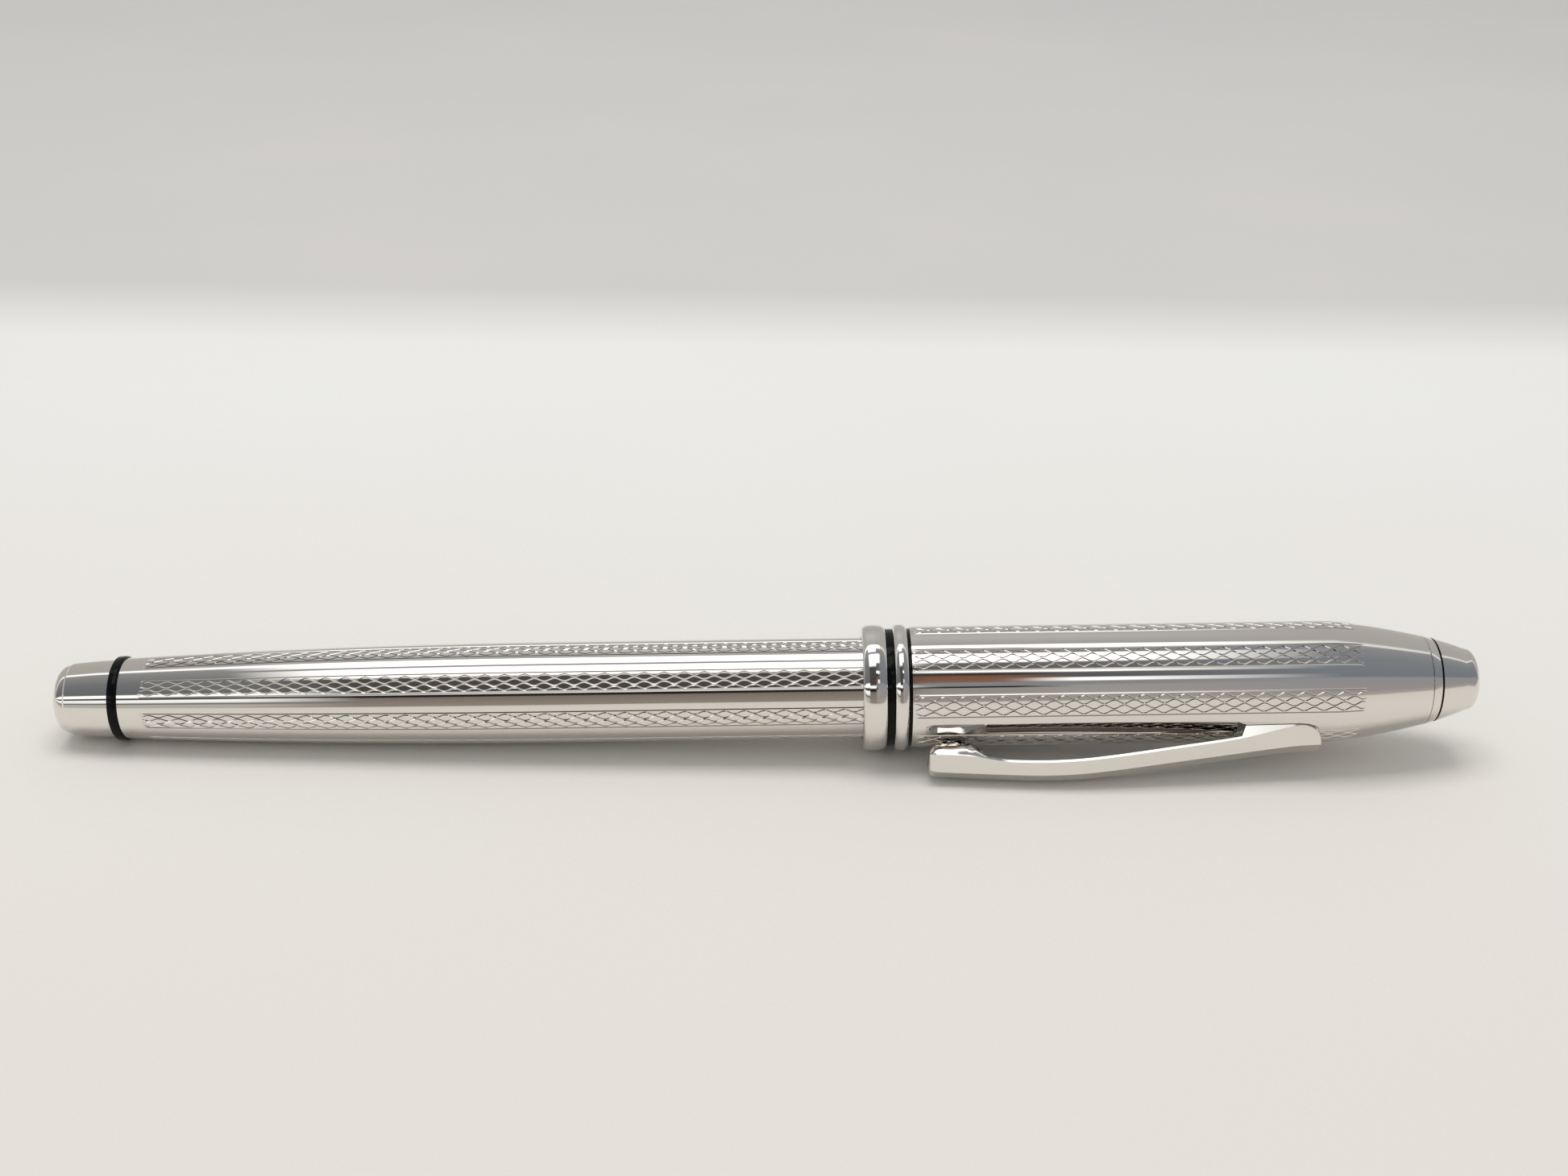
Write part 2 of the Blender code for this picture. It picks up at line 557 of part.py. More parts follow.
def build_section(axis):
    black = make_material("grip plastic", (0.015, 0.015, 0.017), 0.3, 0.0)
    groove_end = GRIP_SHOULDER_LENGTH + GROOVE_LENGTH
    bead_end = GRIP_BEAD_END
    spigot_outer = NOSE_SPIGOT_RADIUS
    counterbore = GRIP_LENGTH - NOSE_SPIGOT_LENGTH - FACE_GAP
    seat_end = COUPLING_IN_GRIP + FACE_GAP
    waist = bead_end + (GRIP_LENGTH - bead_end) * GRIP_WAIST_AT
    waist_radius = GRIP_REAR_RADIUS - (GRIP_REAR_RADIUS - GRIP_FRONT_RADIUS) * GRIP_WAIST_DROP
    grip = [(GRIP_LENGTH, spigot_outer + SEAT_GAP), (GRIP_LENGTH, GRIP_FRONT_RADIUS),
            (waist, waist_radius), (bead_end + GRIP_BEAD_SLOPE, GRIP_REAR_RADIUS),
            (bead_end, GRIP_SHOULDER_RADIUS),
            (groove_end, GRIP_SHOULDER_RADIUS), (groove_end, GRIP_SHOULDER_RADIUS - GROOVE_DEPTH),
            (GRIP_SHOULDER_LENGTH, GRIP_SHOULDER_RADIUS - GROOVE_DEPTH),
            (GRIP_SHOULDER_LENGTH, GRIP_SHOULDER_RADIUS), (GRIP_CHAMFER, GRIP_SHOULDER_RADIUS),
            (0.0, GRIP_SHOULDER_RADIUS - GRIP_CHAMFER), (0.0, COUPLING_RADIUS + SEAT_GAP),
            (seat_end, COUPLING_RADIUS + SEAT_GAP), (seat_end, SECTION_BORE),
            (counterbore, SECTION_BORE), (counterbore, spigot_outer + SEAT_GAP)]
    turned("grip_section", axis, X_GRIP, grip, OUTER_STEPS, black)

    stem_bore = REFILL_TIP_STEM_RADIUS + STEM_GAP
    shoulder_bore = REFILL_TIP_SHOULDER_RADIUS + STEM_GAP
    shoulder_end = X_REFILL_TIP + REFILL_TIP_SHOULDER - X_NOSE + FACE_GAP
    cone_end = shoulder_end + REFILL_TIP_CONE
    outer = [(NOSE_LENGTH, stem_bore), (NOSE_LENGTH, NOSE_FRONT_RADIUS - NOSE_CHAMFER),
             (NOSE_LENGTH - NOSE_CHAMFER, NOSE_FRONT_RADIUS),
             (NOSE_LENGTH * NOSE_SWELL_AT, GRIP_FRONT_RADIUS * NOSE_SWELL),
             (0.0, GRIP_FRONT_RADIUS), (0.0, spigot_outer), (-NOSE_SPIGOT_LENGTH, spigot_outer)]
    bore = [(-NOSE_SPIGOT_LENGTH, SECTION_BORE), (0.0, SECTION_BORE),
            (NOSE_BORE_SLOPE, shoulder_bore), (shoulder_end, shoulder_bore), (cone_end, stem_bore)]
    turned("nose_cone", axis, X_NOSE, outer + bore, OUTER_STEPS, plating("nose cone plating"))

    start = X_GRIP + COUPLING_IN_GRIP - COUPLING_LENGTH
    tube = [(COUPLING_LENGTH, COUPLING_RADIUS), (BRASS_CHAMFER, COUPLING_RADIUS),
            (0.0, COUPLING_RADIUS - BRASS_CHAMFER), (0.0, SECTION_BORE), (COUPLING_LENGTH, SECTION_BORE)]
    turned("section_coupling", axis, start, tube, INNER_STEPS, brass("coupling brass"))


def build_snap_ring(axis):
    """Split ring in the grip's groove, open on its upper side."""
    bore = SNAP_RING_RADIUS - SNAP_RING_WALL
    start = X_GRIP + GRIP_SHOULDER_LENGTH + (GROOVE_LENGTH - SNAP_RING_LENGTH) / 2.0
    profile = [(SNAP_RING_LENGTH, SNAP_RING_RADIUS - SNAP_RING_CROWN),
               (SNAP_RING_LENGTH / 2.0, SNAP_RING_RADIUS), (0.0, SNAP_RING_RADIUS - SNAP_RING_CROWN),
               (0.0, bore), (SNAP_RING_LENGTH, bore)]
    ring = turned("snap_ring", axis, start, profile, OUTER_STEPS,
                  make_material("snap ring steel", (0.6, 0.6, 0.62), 0.25, 1.0))
    half_gap = SNAP_RING_RADIUS * math.tan(math.radians(SNAP_RING_GAP_ANGLE / 2.0))
    gap = box("snap_ring_gap", (-SNAP_RING_RADIUS - CUT_PAST, -half_gap, -CUT_PAST),
              (-bore + CUT_PAST, half_gap, SNAP_RING_LENGTH + CUT_PAST))
    gap.parent = axis
    gap.location = ring.location
    add_cutter(gap)
    cut(ring, gap)


# ---------------------------------------------------------------- cap


def build_cap_rings(axis):
    lip_crown = CAP_RADIUS + LIP_RING_PROUD
    lip = crowned_ring(LIP_RING_LENGTH, lip_crown, RING_EDGE_RADIUS, RING_BORE)
    turned("cap_lip_ring", axis, X_MOUTH, lip, OUTER_STEPS, plating("lip ring plating"))
    upper_crown = CAP_RADIUS + UPPER_RING_PROUD
    upper = crowned_ring(UPPER_RING_LENGTH, upper_crown, RING_EDGE_RADIUS, RING_BORE)
    turned("cap_upper_ring", axis, X_UPPER_RING, upper, OUTER_STEPS, plating("upper ring plating"))
    bands = [("cap_band", X_BAND, BAND_LENGTH, RING_EDGE_RADIUS),
             ("cap_gasket", X_GASKET, GASKET_LENGTH, CAP_RADIUS - GASKET_STEP)]
    for name, x, length, radius in bands:
        profile = [(length, radius), (0.0, radius), (0.0, RING_BORE), (length, RING_BORE)]
        turned(name, axis, x, profile, OUTER_STEPS, black_lacquer(name + " lacquer"))
    sleeve = [(SLEEVE_LENGTH, SLEEVE_OUTER), (SLEEVE_LEAD, SLEEVE_OUTER),
              (0.0, SLEEVE_OUTER - SLEEVE_LEAD_OUTER), (0.0, SLEEVE_BORE + SLEEVE_LEAD_INNER),
              (SLEEVE_LEAD, SLEEVE_BORE), (SLEEVE_LENGTH, SLEEVE_BORE)]
    turned("cap_mouth_sleeve", axis, X_MOUTH + SEAT_GAP, sleeve, OUTER_STEPS,
           brass("mouth sleeve brass"))


def build_cap_shell(axis):
    taper = steps_between(CAP_LENGTH, CAP_STRAIGHT_LENGTH, TAPER_SEGMENTS)
    outer = [(z, cap_radius(z)) for z in taper] + [(0.0, CAP_RADIUS)]
    inner_top = CAP_LENGTH - END_WALL
    bore_stations = steps_between(CAP_STRAIGHT_LENGTH, inner_top, BORE_SEGMENTS)
    inner = [(0.0, CAP_RADIUS - CAP_WALL)]
    inner += [(z, cap_radius(z) - CAP_WALL) for z in bore_stations]
    inner += [(inner_top, STUD_HOLE), (CAP_LENGTH, STUD_HOLE)]
    shell = turned("cap_shell", axis, X_CAP, outer + inner, OUTER_STEPS, plating("cap plating"))
    return shell


def build_liner(axis):
    """Plastic inner cap, closed over the writing tip and open towards the mouth."""
    wide = SLEEVE_OUTER
    taper_start = LINER_LENGTH - LINER_TAPER_LENGTH
    front = LINER_LENGTH
    bore = LINER_RADIUS - LINER_WALL
    outer = [(front, 0.0), (front, LINER_RADIUS - LINER_TAPER_DROP), (taper_start, LINER_RADIUS),
             (LINER_SEAT_LENGTH + LINER_STEP_LENGTH, LINER_RADIUS), (LINER_SEAT_LENGTH, wide),
             (0.0, wide)]
    inner = [(0.0, SLEEVE_BORE), (LINER_SEAT_LENGTH - LINER_STEP_LENGTH, SLEEVE_BORE),
             (LINER_SEAT_LENGTH, bore), (taper_start, bore),
             (front - LINER_END_WALL, bore - LINER_BORE_DROP), (front - LINER_END_WALL, 0.0)]
    turned("cap_liner", axis, X_LINER, outer + inner, INNER_STEPS,
           make_material("liner plastic", (0.05, 0.05, 0.055), 0.4, 0.0), closed=False)


def build_finial(axis):
    collar = [(COLLAR_LENGTH, COLLAR_FRONT_RADIUS), (0.0, CAP_END_RADIUS), (0.0, STUD_HOLE),
              (COLLAR_LENGTH, STUD_HOLE)]
    turned("finial_collar", axis, X_COLLAR, collar, OUTER_STEPS, plating("collar plating"))
    washer_radius = COLLAR_FRONT_RADIUS - WASHER_INSET
    washer = [(WASHER_LENGTH, washer_radius), (0.0, washer_radius), (0.0, STUD_HOLE),
              (WASHER_LENGTH, STUD_HOLE)]
    turned("finial_washer", axis, X_WASHER, washer, OUTER_STEPS, black_lacquer("washer lacquer"))
    hole_end = STUD_IN_END_PIECE + FACE_GAP
    edge = rounded_edge(FINIAL_LENGTH, FINIAL_END_RADIUS, FINIAL_EDGE)
    swell_radius = FINIAL_END_RADIUS + (FINIAL_ROOT_RADIUS - FINIAL_END_RADIUS) * FINIAL_SWELL
    body = [(FINIAL_LENGTH, 0.0)] + edge
    body += [(FINIAL_LENGTH * FINIAL_SWELL_AT, swell_radius), (0.0, FINIAL_ROOT_RADIUS),
             (0.0, STUD_HOLE), (hole_end, STUD_HOLE), (hole_end, 0.0)]
    turned("finial", axis, X_FINIAL, body, OUTER_STEPS, plating("finial plating"), closed=False)
    nut_start = X_COLLAR - SEAT_GAP - END_WALL - FACE_GAP - NUT_LENGTH
    start = nut_start - NUT_STUD_SHOWS
    length = X_FINIAL + STUD_IN_END_PIECE - start
    stud = [(length, 0.0), (length, STUD_RADIUS), (0.0, STUD_RADIUS), (0.0, 0.0)]
    turned("finial_stud", axis, start, stud, SMALL_STEPS, brass("finial stud brass"), closed=False)
    nut_bore = STUD_HOLE / math.cos(math.pi / NUT_SIDES)
    nut = [(NUT_LENGTH, NUT_ACROSS_CORNERS / 2.0), (0.0, NUT_ACROSS_CORNERS / 2.0),
           (0.0, nut_bore), (NUT_LENGTH, nut_bore)]
    turned("finial_nut", axis, nut_start, nut, NUT_SIDES, brass("finial nut brass"))


# ---------------------------------------------------------------- clip


def clip_section(height, width, top_width, thickness):
    """Roof-shaped section as (sideways, outward) points, outward from the pivot's radius."""
    low = height - thickness
    side = low + CLIP_EDGE_HEIGHT
    return [(-width / 2.0, low), (width / 2.0, low), (width / 2.0, side),
            (top_width / 2.0, height), (-top_width / 2.0, height), (-width / 2.0, side)]


def loft(name, stations, material):
    """Join like sections placed along the clip, with flat ends. Backwards is positive."""
    bm = bmesh.new()
    rings = []
    for along, section in stations:
        rings.append([bm.verts.new((outward * MM, side * MM, -along * MM)) for side, outward in section])
    count = len(rings[0])
    for first, second in zip(rings, rings[1:]):
        for i in range(count):
            j = (i + 1) % count
            bm.faces.new((first[i], first[j], second[j], second[i]))
    bm.faces.new(rings[0][::-1])
    bm.faces.new(rings[-1])
    bmesh.ops.recalc_face_normals(bm, faces=bm.faces)
    mesh = bpy.data.meshes.new(name)
    bm.to_mesh(mesh)
    bm.free()
    obj = bpy.data.objects.new(name, mesh)
    PEN.objects.link(obj)
    mesh.materials.append(material)
    return obj


def clip_frame(name, parent, x, radius):
    """An empty at the clip's angle: local X outwards, Y sideways and Z along the pen."""
    empty = bpy.data.objects.new(name, None)
    PEN.objects.link(empty)
    empty.empty_display_size = 0.005
    empty.parent = parent
    turn = math.radians(-90.0 - CLIP_ANGLE)
    empty.rotation_euler = (0.0, 0.0, turn)
    empty.location = (radius * MM * math.cos(turn), radius * MM * math.sin(turn), x * MM)
    return empty


def clip_arm(base):
    """Places along the clip as (distance from the root end, outer height, thickness, width)."""
    root_top = CLIP_ROOT_HEIGHT + base
    arm_top = CLIP_ARM_HEIGHT + base
    end_top = CLIP_END_HEIGHT + base
    slope_end = CLIP_ROOT_LENGTH + CLIP_SLOPE_LENGTH
    block = root_top + CLIP_ROOT_SINK
    pad_start = CLIP_LENGTH - CLIP_PAD_LENGTH

    def width_at(along):
        return CLIP_ROOT_WIDTH + (CLIP_END_WIDTH - CLIP_ROOT_WIDTH) * along / CLIP_LENGTH

    places = []
    for along in steps_between(0.0, CLIP_BOW_LENGTH, BOW_SEGMENTS):
        lean = 1.0 - along / CLIP_BOW_LENGTH
        share = 1.0 - CLIP_BOW_DROP * (1.0 - math.sqrt(1.0 - lean * lean))
        places.append((along, root_top, block, width_at(along) * share))
    front = CLIP_ROOT_LENGTH - CLIP_ROOT_SLANT
    places.append((front, root_top, block, width_at(front)))
    for along in steps_between(CLIP_ROOT_LENGTH, slope_end, SLOPE_SEGMENTS):
        left = 1.0 - (along - CLIP_ROOT_LENGTH) / CLIP_SLOPE_LENGTH
        top = arm_top - (arm_top - root_top) * left ** CLIP_SLOPE_POWER
        places.append((along, top, CLIP_THICKNESS, width_at(along)))
    fall = (arm_top - end_top) / (CLIP_LENGTH - slope_end)
    places.append((pad_start, arm_top - fall * (pad_start - slope_end), CLIP_THICKNESS, width_at(pad_start)))
    wide = CLIP_LENGTH - CLIP_PAD_TOUCH
    places.append((wide, arm_top - fall * (wide - slope_end), CLIP_PAD_THICKNESS, CLIP_PAD_WIDTH))
    places.append((CLIP_LENGTH - CLIP_END_ROUND, end_top, CLIP_PAD_THICKNESS, CLIP_PAD_WIDTH))
    places.append((CLIP_LENGTH, end_top - CLIP_END_ROUND, CLIP_PAD_THICKNESS - CLIP_END_ROUND,
                   CLIP_PAD_WIDTH - 2.0 * CLIP_END_ROUND))
    return places


def pad_section(low, high, narrow, wide):
    """Wedge-shaped section as (sideways, outward) points, narrow towards the cap."""
    return [(-narrow / 2.0, low), (narrow / 2.0, low), (wide / 2.0, high), (-wide / 2.0, high)]


def build_clip(pivot):
    """The clip: root block, sloping arm and the widened ball end with its pad."""
    material = plating("clip plating")
    stations = []
    for along, top, thickness, width in clip_arm(-SEAT_GAP):
        share = along / CLIP_LENGTH
        top_width = CLIP_ROOT_TOP_WIDTH + (CLIP_END_TOP_WIDTH - CLIP_ROOT_TOP_WIDTH) * share
        stations.append((along, clip_section(top, width, min(top_width, width / 2.0), thickness)))
    clip = loft("clip", stations, material)
    clip.parent = pivot

    low = CLIP_PAD_GAP - SEAT_GAP
    inside = CLIP_END_HEIGHT - SEAT_GAP - CLIP_PAD_THICKNESS + CLIP_EDGE_HEIGHT
    high = inside + CLIP_EDGE_HEIGHT
    middle = (low + inside) / 2.0
    start = CLIP_LENGTH - CLIP_PAD_LENGTH
    touch = CLIP_LENGTH - CLIP_PAD_TOUCH
    wide = CLIP_PAD_WIDTH - 2.0 * CLIP_END_ROUND
    slim = CLIP_END_WIDTH - 2.0 * CLIP_END_ROUND
    pad_stations = [(start, pad_section(inside, high, slim, slim)),
                    ((start + touch) / 2.0, pad_section(middle, high, slim, wide)),
                    (touch, pad_section(low, high, CLIP_PAD_TOUCH_WIDTH, wide)),
                    (CLIP_LENGTH - CLIP_END_ROUND, pad_section(middle, high, slim, wide))]
    pad = loft("clip_pad", pad_stations, material)
    pad.parent = pivot
    add_cutter(pad)
    cut(clip, pad, "UNION")
    return clip


def seat_clip_on_cap(clip, axis):
    """Hollow the clip's underside to the cap's round, a seat gap clear of it."""
    mesh = bpy.data.meshes.new("clip_seat")
    bm = bmesh.new()
    length = CLIP_ROOT_LENGTH + 2.0 * CLIP_SEAT_PAST
    bmesh.ops.create_cone(bm, cap_ends=True, segments=OUTER_STEPS * 2,
                          radius1=CLIP_PIVOT_RADIUS * MM, radius2=CLIP_PIVOT_RADIUS * MM, depth=length * MM)
    bm.to_mesh(mesh)
    bm.free()
    cutter = bpy.data.objects.new("clip_seat", mesh)
    PEN.objects.link(cutter)
    cutter.parent = axis
    cutter.location = (0.0, 0.0, (X_CLIP_ROOT - CLIP_ROOT_LENGTH / 2.0) * MM)
    add_cutter(cutter)
    cut(clip, cutter)


def build_anchor(axis, shell):
    """T-shaped anchor in a slot of the cap tube, under the clip's root."""
    middle = X_CLIP_ROOT - CLIP_ROOT_LENGTH / 2.0
    frame = clip_frame("clip_anchor_frame", axis, middle, 0.0)
    wall_bore = CAP_RADIUS - CAP_WALL
    half_width = ANCHOR_PLATE_WIDTH / 2.0
    plate_top = math.sqrt((wall_bore - SEAT_GAP) ** 2 - half_width ** 2) - SEAT_GAP
    plate = box("clip_anchor",
                (plate_top - ANCHOR_PLATE_THICKNESS, -half_width, -ANCHOR_PLATE_LENGTH / 2.0),
                (plate_top, half_width, ANCHOR_PLATE_LENGTH / 2.0),
                make_material("anchor steel", (0.55, 0.55, 0.57), 0.3, 1.0))
    plate.parent = frame
    tang = box("anchor_tang",
               (plate_top - ANCHOR_PLATE_THICKNESS / 2.0, -ANCHOR_TANG_WIDTH / 2.0,
                -ANCHOR_TANG_LENGTH / 2.0),
               (CAP_RADIUS - SEAT_GAP, ANCHOR_TANG_WIDTH / 2.0, ANCHOR_TANG_LENGTH / 2.0))
    tang.parent = frame
    add_cutter(tang)
    cut(plate, tang, "UNION")
    slot_half_width = ANCHOR_TANG_WIDTH / 2.0 + SEAT_GAP
    slot_half_length = ANCHOR_TANG_LENGTH / 2.0 + SEAT_GAP
    slot = box("clip_slot", (plate_top, -slot_half_width, -slot_half_length),
               (CAP_RADIUS + CUT_PAST, slot_half_width, slot_half_length))
    slot.parent = frame
    add_cutter(slot)
    cut(shell, slot)


def main():
    clear_scene()
    barrel_axis = axis_empty("barrel_axis", 0.0)
    build_tail(barrel_axis)
    build_barrel(barrel_axis)
    build_spring(barrel_axis)
    refill_axis = axis_empty("refill_axis", 0.0, barrel_axis)
    build_refill(refill_axis)
    build_ball(refill_axis)
    section_axis = axis_empty("section_axis", 0.0, barrel_axis)
    build_trim(section_axis)
    build_o_ring(section_axis)
    build_section(section_axis)
    build_snap_ring(section_axis)
    cap_axis = axis_empty("cap_axis", 0.0, section_axis)
    build_cap_rings(cap_axis)
    shell = build_cap_shell(cap_axis)
    build_liner(cap_axis)
    build_finial(cap_axis)
    build_anchor(cap_axis, shell)
    pivot = clip_frame("clip_pivot", cap_axis, X_CLIP_ROOT, CLIP_PIVOT_RADIUS)
    clip = build_clip(pivot)
    seat_clip_on_cap(clip, cap_axis)


main()
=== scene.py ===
"""Rollerball pen: the finished surfaces, materials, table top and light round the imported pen.

The pen lies along +X, its tail face at the origin. Every new piece is modelled in place, in
metres. Only the clip's curves are in millimetres, so that their tables are short to read.
"""

import math

import bmesh
import bpy
from bpy.props import FloatProperty, FloatVectorProperty, IntProperty, PointerProperty
from mathutils import Matrix, Vector


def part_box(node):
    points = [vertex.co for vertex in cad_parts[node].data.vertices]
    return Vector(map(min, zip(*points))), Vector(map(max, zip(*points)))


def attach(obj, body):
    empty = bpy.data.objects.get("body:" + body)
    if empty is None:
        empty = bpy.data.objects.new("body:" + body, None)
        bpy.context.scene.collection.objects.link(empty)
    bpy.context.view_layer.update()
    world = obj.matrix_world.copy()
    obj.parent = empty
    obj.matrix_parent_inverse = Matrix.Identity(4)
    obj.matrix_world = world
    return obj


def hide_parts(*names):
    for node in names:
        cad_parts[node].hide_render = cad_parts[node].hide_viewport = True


bl_info = {
    "name": "Rollerball Pen",
    "version": (1, 0, 0),
    "blender": (4, 5, 0),
    "location": "View3D > Sidebar > Pen",
    "description": "Builds an engraved, plated rollerball pen on its table top",
    "category": "Object",
}

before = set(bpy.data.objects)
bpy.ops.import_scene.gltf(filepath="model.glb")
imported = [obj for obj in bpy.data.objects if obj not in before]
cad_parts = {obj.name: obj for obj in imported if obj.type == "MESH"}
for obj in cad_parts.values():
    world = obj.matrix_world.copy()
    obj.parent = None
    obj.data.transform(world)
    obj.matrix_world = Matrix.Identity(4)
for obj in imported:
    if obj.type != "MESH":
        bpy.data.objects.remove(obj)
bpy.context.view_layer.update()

MM = 0.001
FULL_TURN = 2.0 * math.pi
BANDS_ROUND = 8                      # engraved bands round the pen
BAND_STEP = FULL_TURN / BANDS_ROUND
CLIP_ANGLE = math.radians(-35.0)     # from -Y, turned towards +Z
CLIP_OUT = Vector((0.0, -math.cos(CLIP_ANGLE), math.sin(CLIP_ANGLE)))
CLIP_SIDE = Vector((0.0, -math.sin(CLIP_ANGLE), -math.cos(CLIP_ANGLE)))
STUD_HOLE = 1.37 * MM                # bore for either stud
STUD_DEPTH = 2.7 * MM                # depth of that bore in the tail cap and the finial
END_WALL = 0.8 * MM                  # closed ends of the barrel and the cap
SECTION_BORE = 3.18 * MM             # bore of the writing section, round the refill
MERGE = 1e-7                         # vertices closer than this are one
FINE_MERGE = 1e-8


def low_x(node):
    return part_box(node)[0].x


def high_x(node):
    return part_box(node)[1].x


def outer_radius(node):
    """Largest distance of a turned node from the pen's axis."""
    low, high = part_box(node)
    return max(high.z, -low.z)


# ---------------------------------------------------------------- sizes and colours


def length(name, description, default):
    return FloatProperty(name=name, description=description, default=default,
                         subtype="DISTANCE", unit="LENGTH")


def tone(name, description, default):
    return FloatVectorProperty(name=name, description=description, default=default,
                               subtype="COLOR", size=3, min=0.0, max=1.0)


class PenSizes(bpy.types.PropertyGroup):
    wave_length: length("Wave length", "Length of one wave of the engraved lines", 2.06 * MM)
    groove_depth: length("Groove depth", "Depth of each engraved line", 0.052 * MM)
    groove_width: length("Groove width", "Width of each engraved line", 0.16 * MM)
    barrel_wave: length(
        "Barrel wave", "Height of the waves on the barrel, from their middle", 0.145 * MM)
    cap_wave: length("Cap wave", "Height of the waves on the cap, from their middle", 0.19 * MM)
    turning_steps: IntProperty(
        name="Turning steps", description="Flats round each plain turned piece",
        default=128, min=24, max=256)
    thread_pitch: length("Thread pitch", "Pitch of the section's screw thread", 0.8 * MM)
    thread_depth: length("Thread depth", "Depth of the section's screw thread", 0.32 * MM)


class PenFinishes(bpy.types.PropertyGroup):
    plate: tone("Plate", "Colour of the bright plating", (0.80, 0.775, 0.735))
    # Painted shade: the darker plate colour given to the bottoms of the engraved lines.
    groove: tone(
        "Groove", "Colour of the plating at the bottom of an engraved line", (0.55, 0.52, 0.48))
    plate_roughness: FloatProperty(
        name="Plate roughness", description="Roughness of the polished plating",
        default=0.045, min=0.0, max=1.0, subtype="FACTOR")
    lacquer: tone("Lacquer", "Colour of the black rings", (0.003, 0.0035, 0.004))
    grip: tone("Grip", "Colour of the grip's plastic", (0.012, 0.012, 0.014))
    brass: tone("Brass", "Colour of the brass inner pieces", (0.72, 0.53, 0.25))
    steel: tone("Steel", "Colour of the steel pieces", (0.58, 0.58, 0.60))
    refill: tone("Refill", "Colour of the refill's tube", (0.08, 0.09, 0.12))
    plug: tone("Plug", "Colour of the refill's plug", (0.72, 0.73, 0.75))


class StageSettings(bpy.types.PropertyGroup):
    cloth: tone("Cloth", "Colour of the table cloth", (0.76, 0.735, 0.69))
    # Painted shade: the grayer colour given to the flat cloth beyond the painted fold.
    shaded_far_cloth: tone("Far cloth", "Colour of the cloth behind its fold", (0.60, 0.595, 0.585))
    room_light: FloatProperty(
        name="Room light", description="Strength of the even light of the room",
        default=0.62, min=0.0)
    lamp_power: FloatProperty(
        name="Lamp power", description="Power of the large soft lamp", default=3.9,
        min=0.0, subtype="POWER", unit="POWER")


# ---------------------------------------------------------------- modelling helpers


def new_object(name, bm, material, sharp_angle=30.0):
    """Makes an object of a finished bmesh, smooth except at corners sharper than the angle."""
    mesh = bpy.data.meshes.new(name)
    bm.to_mesh(mesh)
    bm.free()
    mesh.shade_smooth()
    mesh.set_sharp_from_angle(angle=math.radians(sharp_angle))
    mesh.materials.append(material)
    obj = bpy.data.objects.new(name, mesh)
    bpy.context.scene.collection.objects.link(obj)
    return obj


def fit(obj, body, node):
    """Puts a finished piece on its body in the place of the node it stands for."""
    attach(obj, body)
    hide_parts(node)


def arc(x, radius, size, start, end, segments):
    """Points of a round corner of that size about (x, radius), between two angles in degrees."""
    points = []
    for i in range(segments + 1):
        turn = math.radians(start + (end - start) * i / segments)
        points.append((x + size * math.cos(turn), radius + size * math.sin(turn)))
    return points


def turned_mesh(profile, steps, closed=True):
    """Spins an outline of (x, radius) points about the pen's axis into a closed bmesh."""
    bm = bmesh.new()
    verts = [bm.verts.new((x, 0.0, radius)) for x, radius in profile]
    edges = [bm.edges.new(pair) for pair in zip(verts, verts[1:])]
    if closed:
        edges.append(bm.edges.new((verts[-1], verts[0])))
    bmesh.ops.spin(bm, geom=verts + edges, cent=(0.0, 0.0, 0.0), axis=(1.0, 0.0, 0.0),
                   angle=FULL_TURN, steps=steps, use_merge=True, use_duplicate=False)
    bmesh.ops.remove_doubles(bm, verts=bm.verts, dist=MERGE)
    bmesh.ops.recalc_face_normals(bm, faces=bm.faces)
    return bm


def turned_piece(name, profile, material, body, node, steps=None, closed=True):
    """Spins an outline into a piece, which takes the place of its node."""
    steps = steps or bpy.context.scene.pen_sizes.turning_steps
    piece = new_object(name, turned_mesh(profile, steps, closed), finish(material))
    fit(piece, body, node)


def tapering(front, rear, front_radius, rear_radius, power, count):
    """Points of a convex taper, from just behind its front to its rear."""
    points = []
    for i in range(1, count + 1):
        t = i / count
        points.append((front - (front - rear) * t,
                       front_radius + (rear_radius - front_radius) * t ** power))
    return points


def tube_profile(x0, x1, outer, bore, edge):
    """Outline of a plain tube whose outer corners are rounded by edge."""
    return (arc(x1 - edge, outer - edge, edge, 0.0, 90.0, 4)
            + arc(x0 + edge, outer - edge, edge, 90.0, 180.0, 4) + [(x0, bore), (x1, bore)])


def cleaned_piece(body, node, material):
    """Puts a merged, smoothly shaded copy of a node, which hides inside the pen, in its place."""
    bm = bmesh.new()
    bm.from_mesh(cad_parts[node].data)
    bmesh.ops.remove_doubles(bm, verts=bm.verts, dist=MERGE)
    bmesh.ops.dissolve_limit(bm, angle_limit=math.radians(0.5), verts=bm.verts, edges=bm.edges)
    fit(new_object(node + "_finish", bm, finish(material), 35.0), body, node)


def combined(first, second, operation, merge):
    """The mesh of two objects joined or cut by each other. Both objects are used up."""
    boolean = first.modifiers.new("Combine", "BOOLEAN")
    boolean.operation = operation
    boolean.object = second
    boolean.solver = "EXACT"
    bpy.context.view_layer.update()
    evaluated = first.evaluated_get(bpy.context.evaluated_depsgraph_get())
    bm = bmesh.new()
    bm.from_mesh(bpy.data.meshes.new_from_object(evaluated))
    for used in (first, second):
        bpy.data.objects.remove(used)
    bmesh.ops.remove_doubles(bm, verts=bm.verts, dist=merge)
    return bm


# ---------------------------------------------------------------- materials


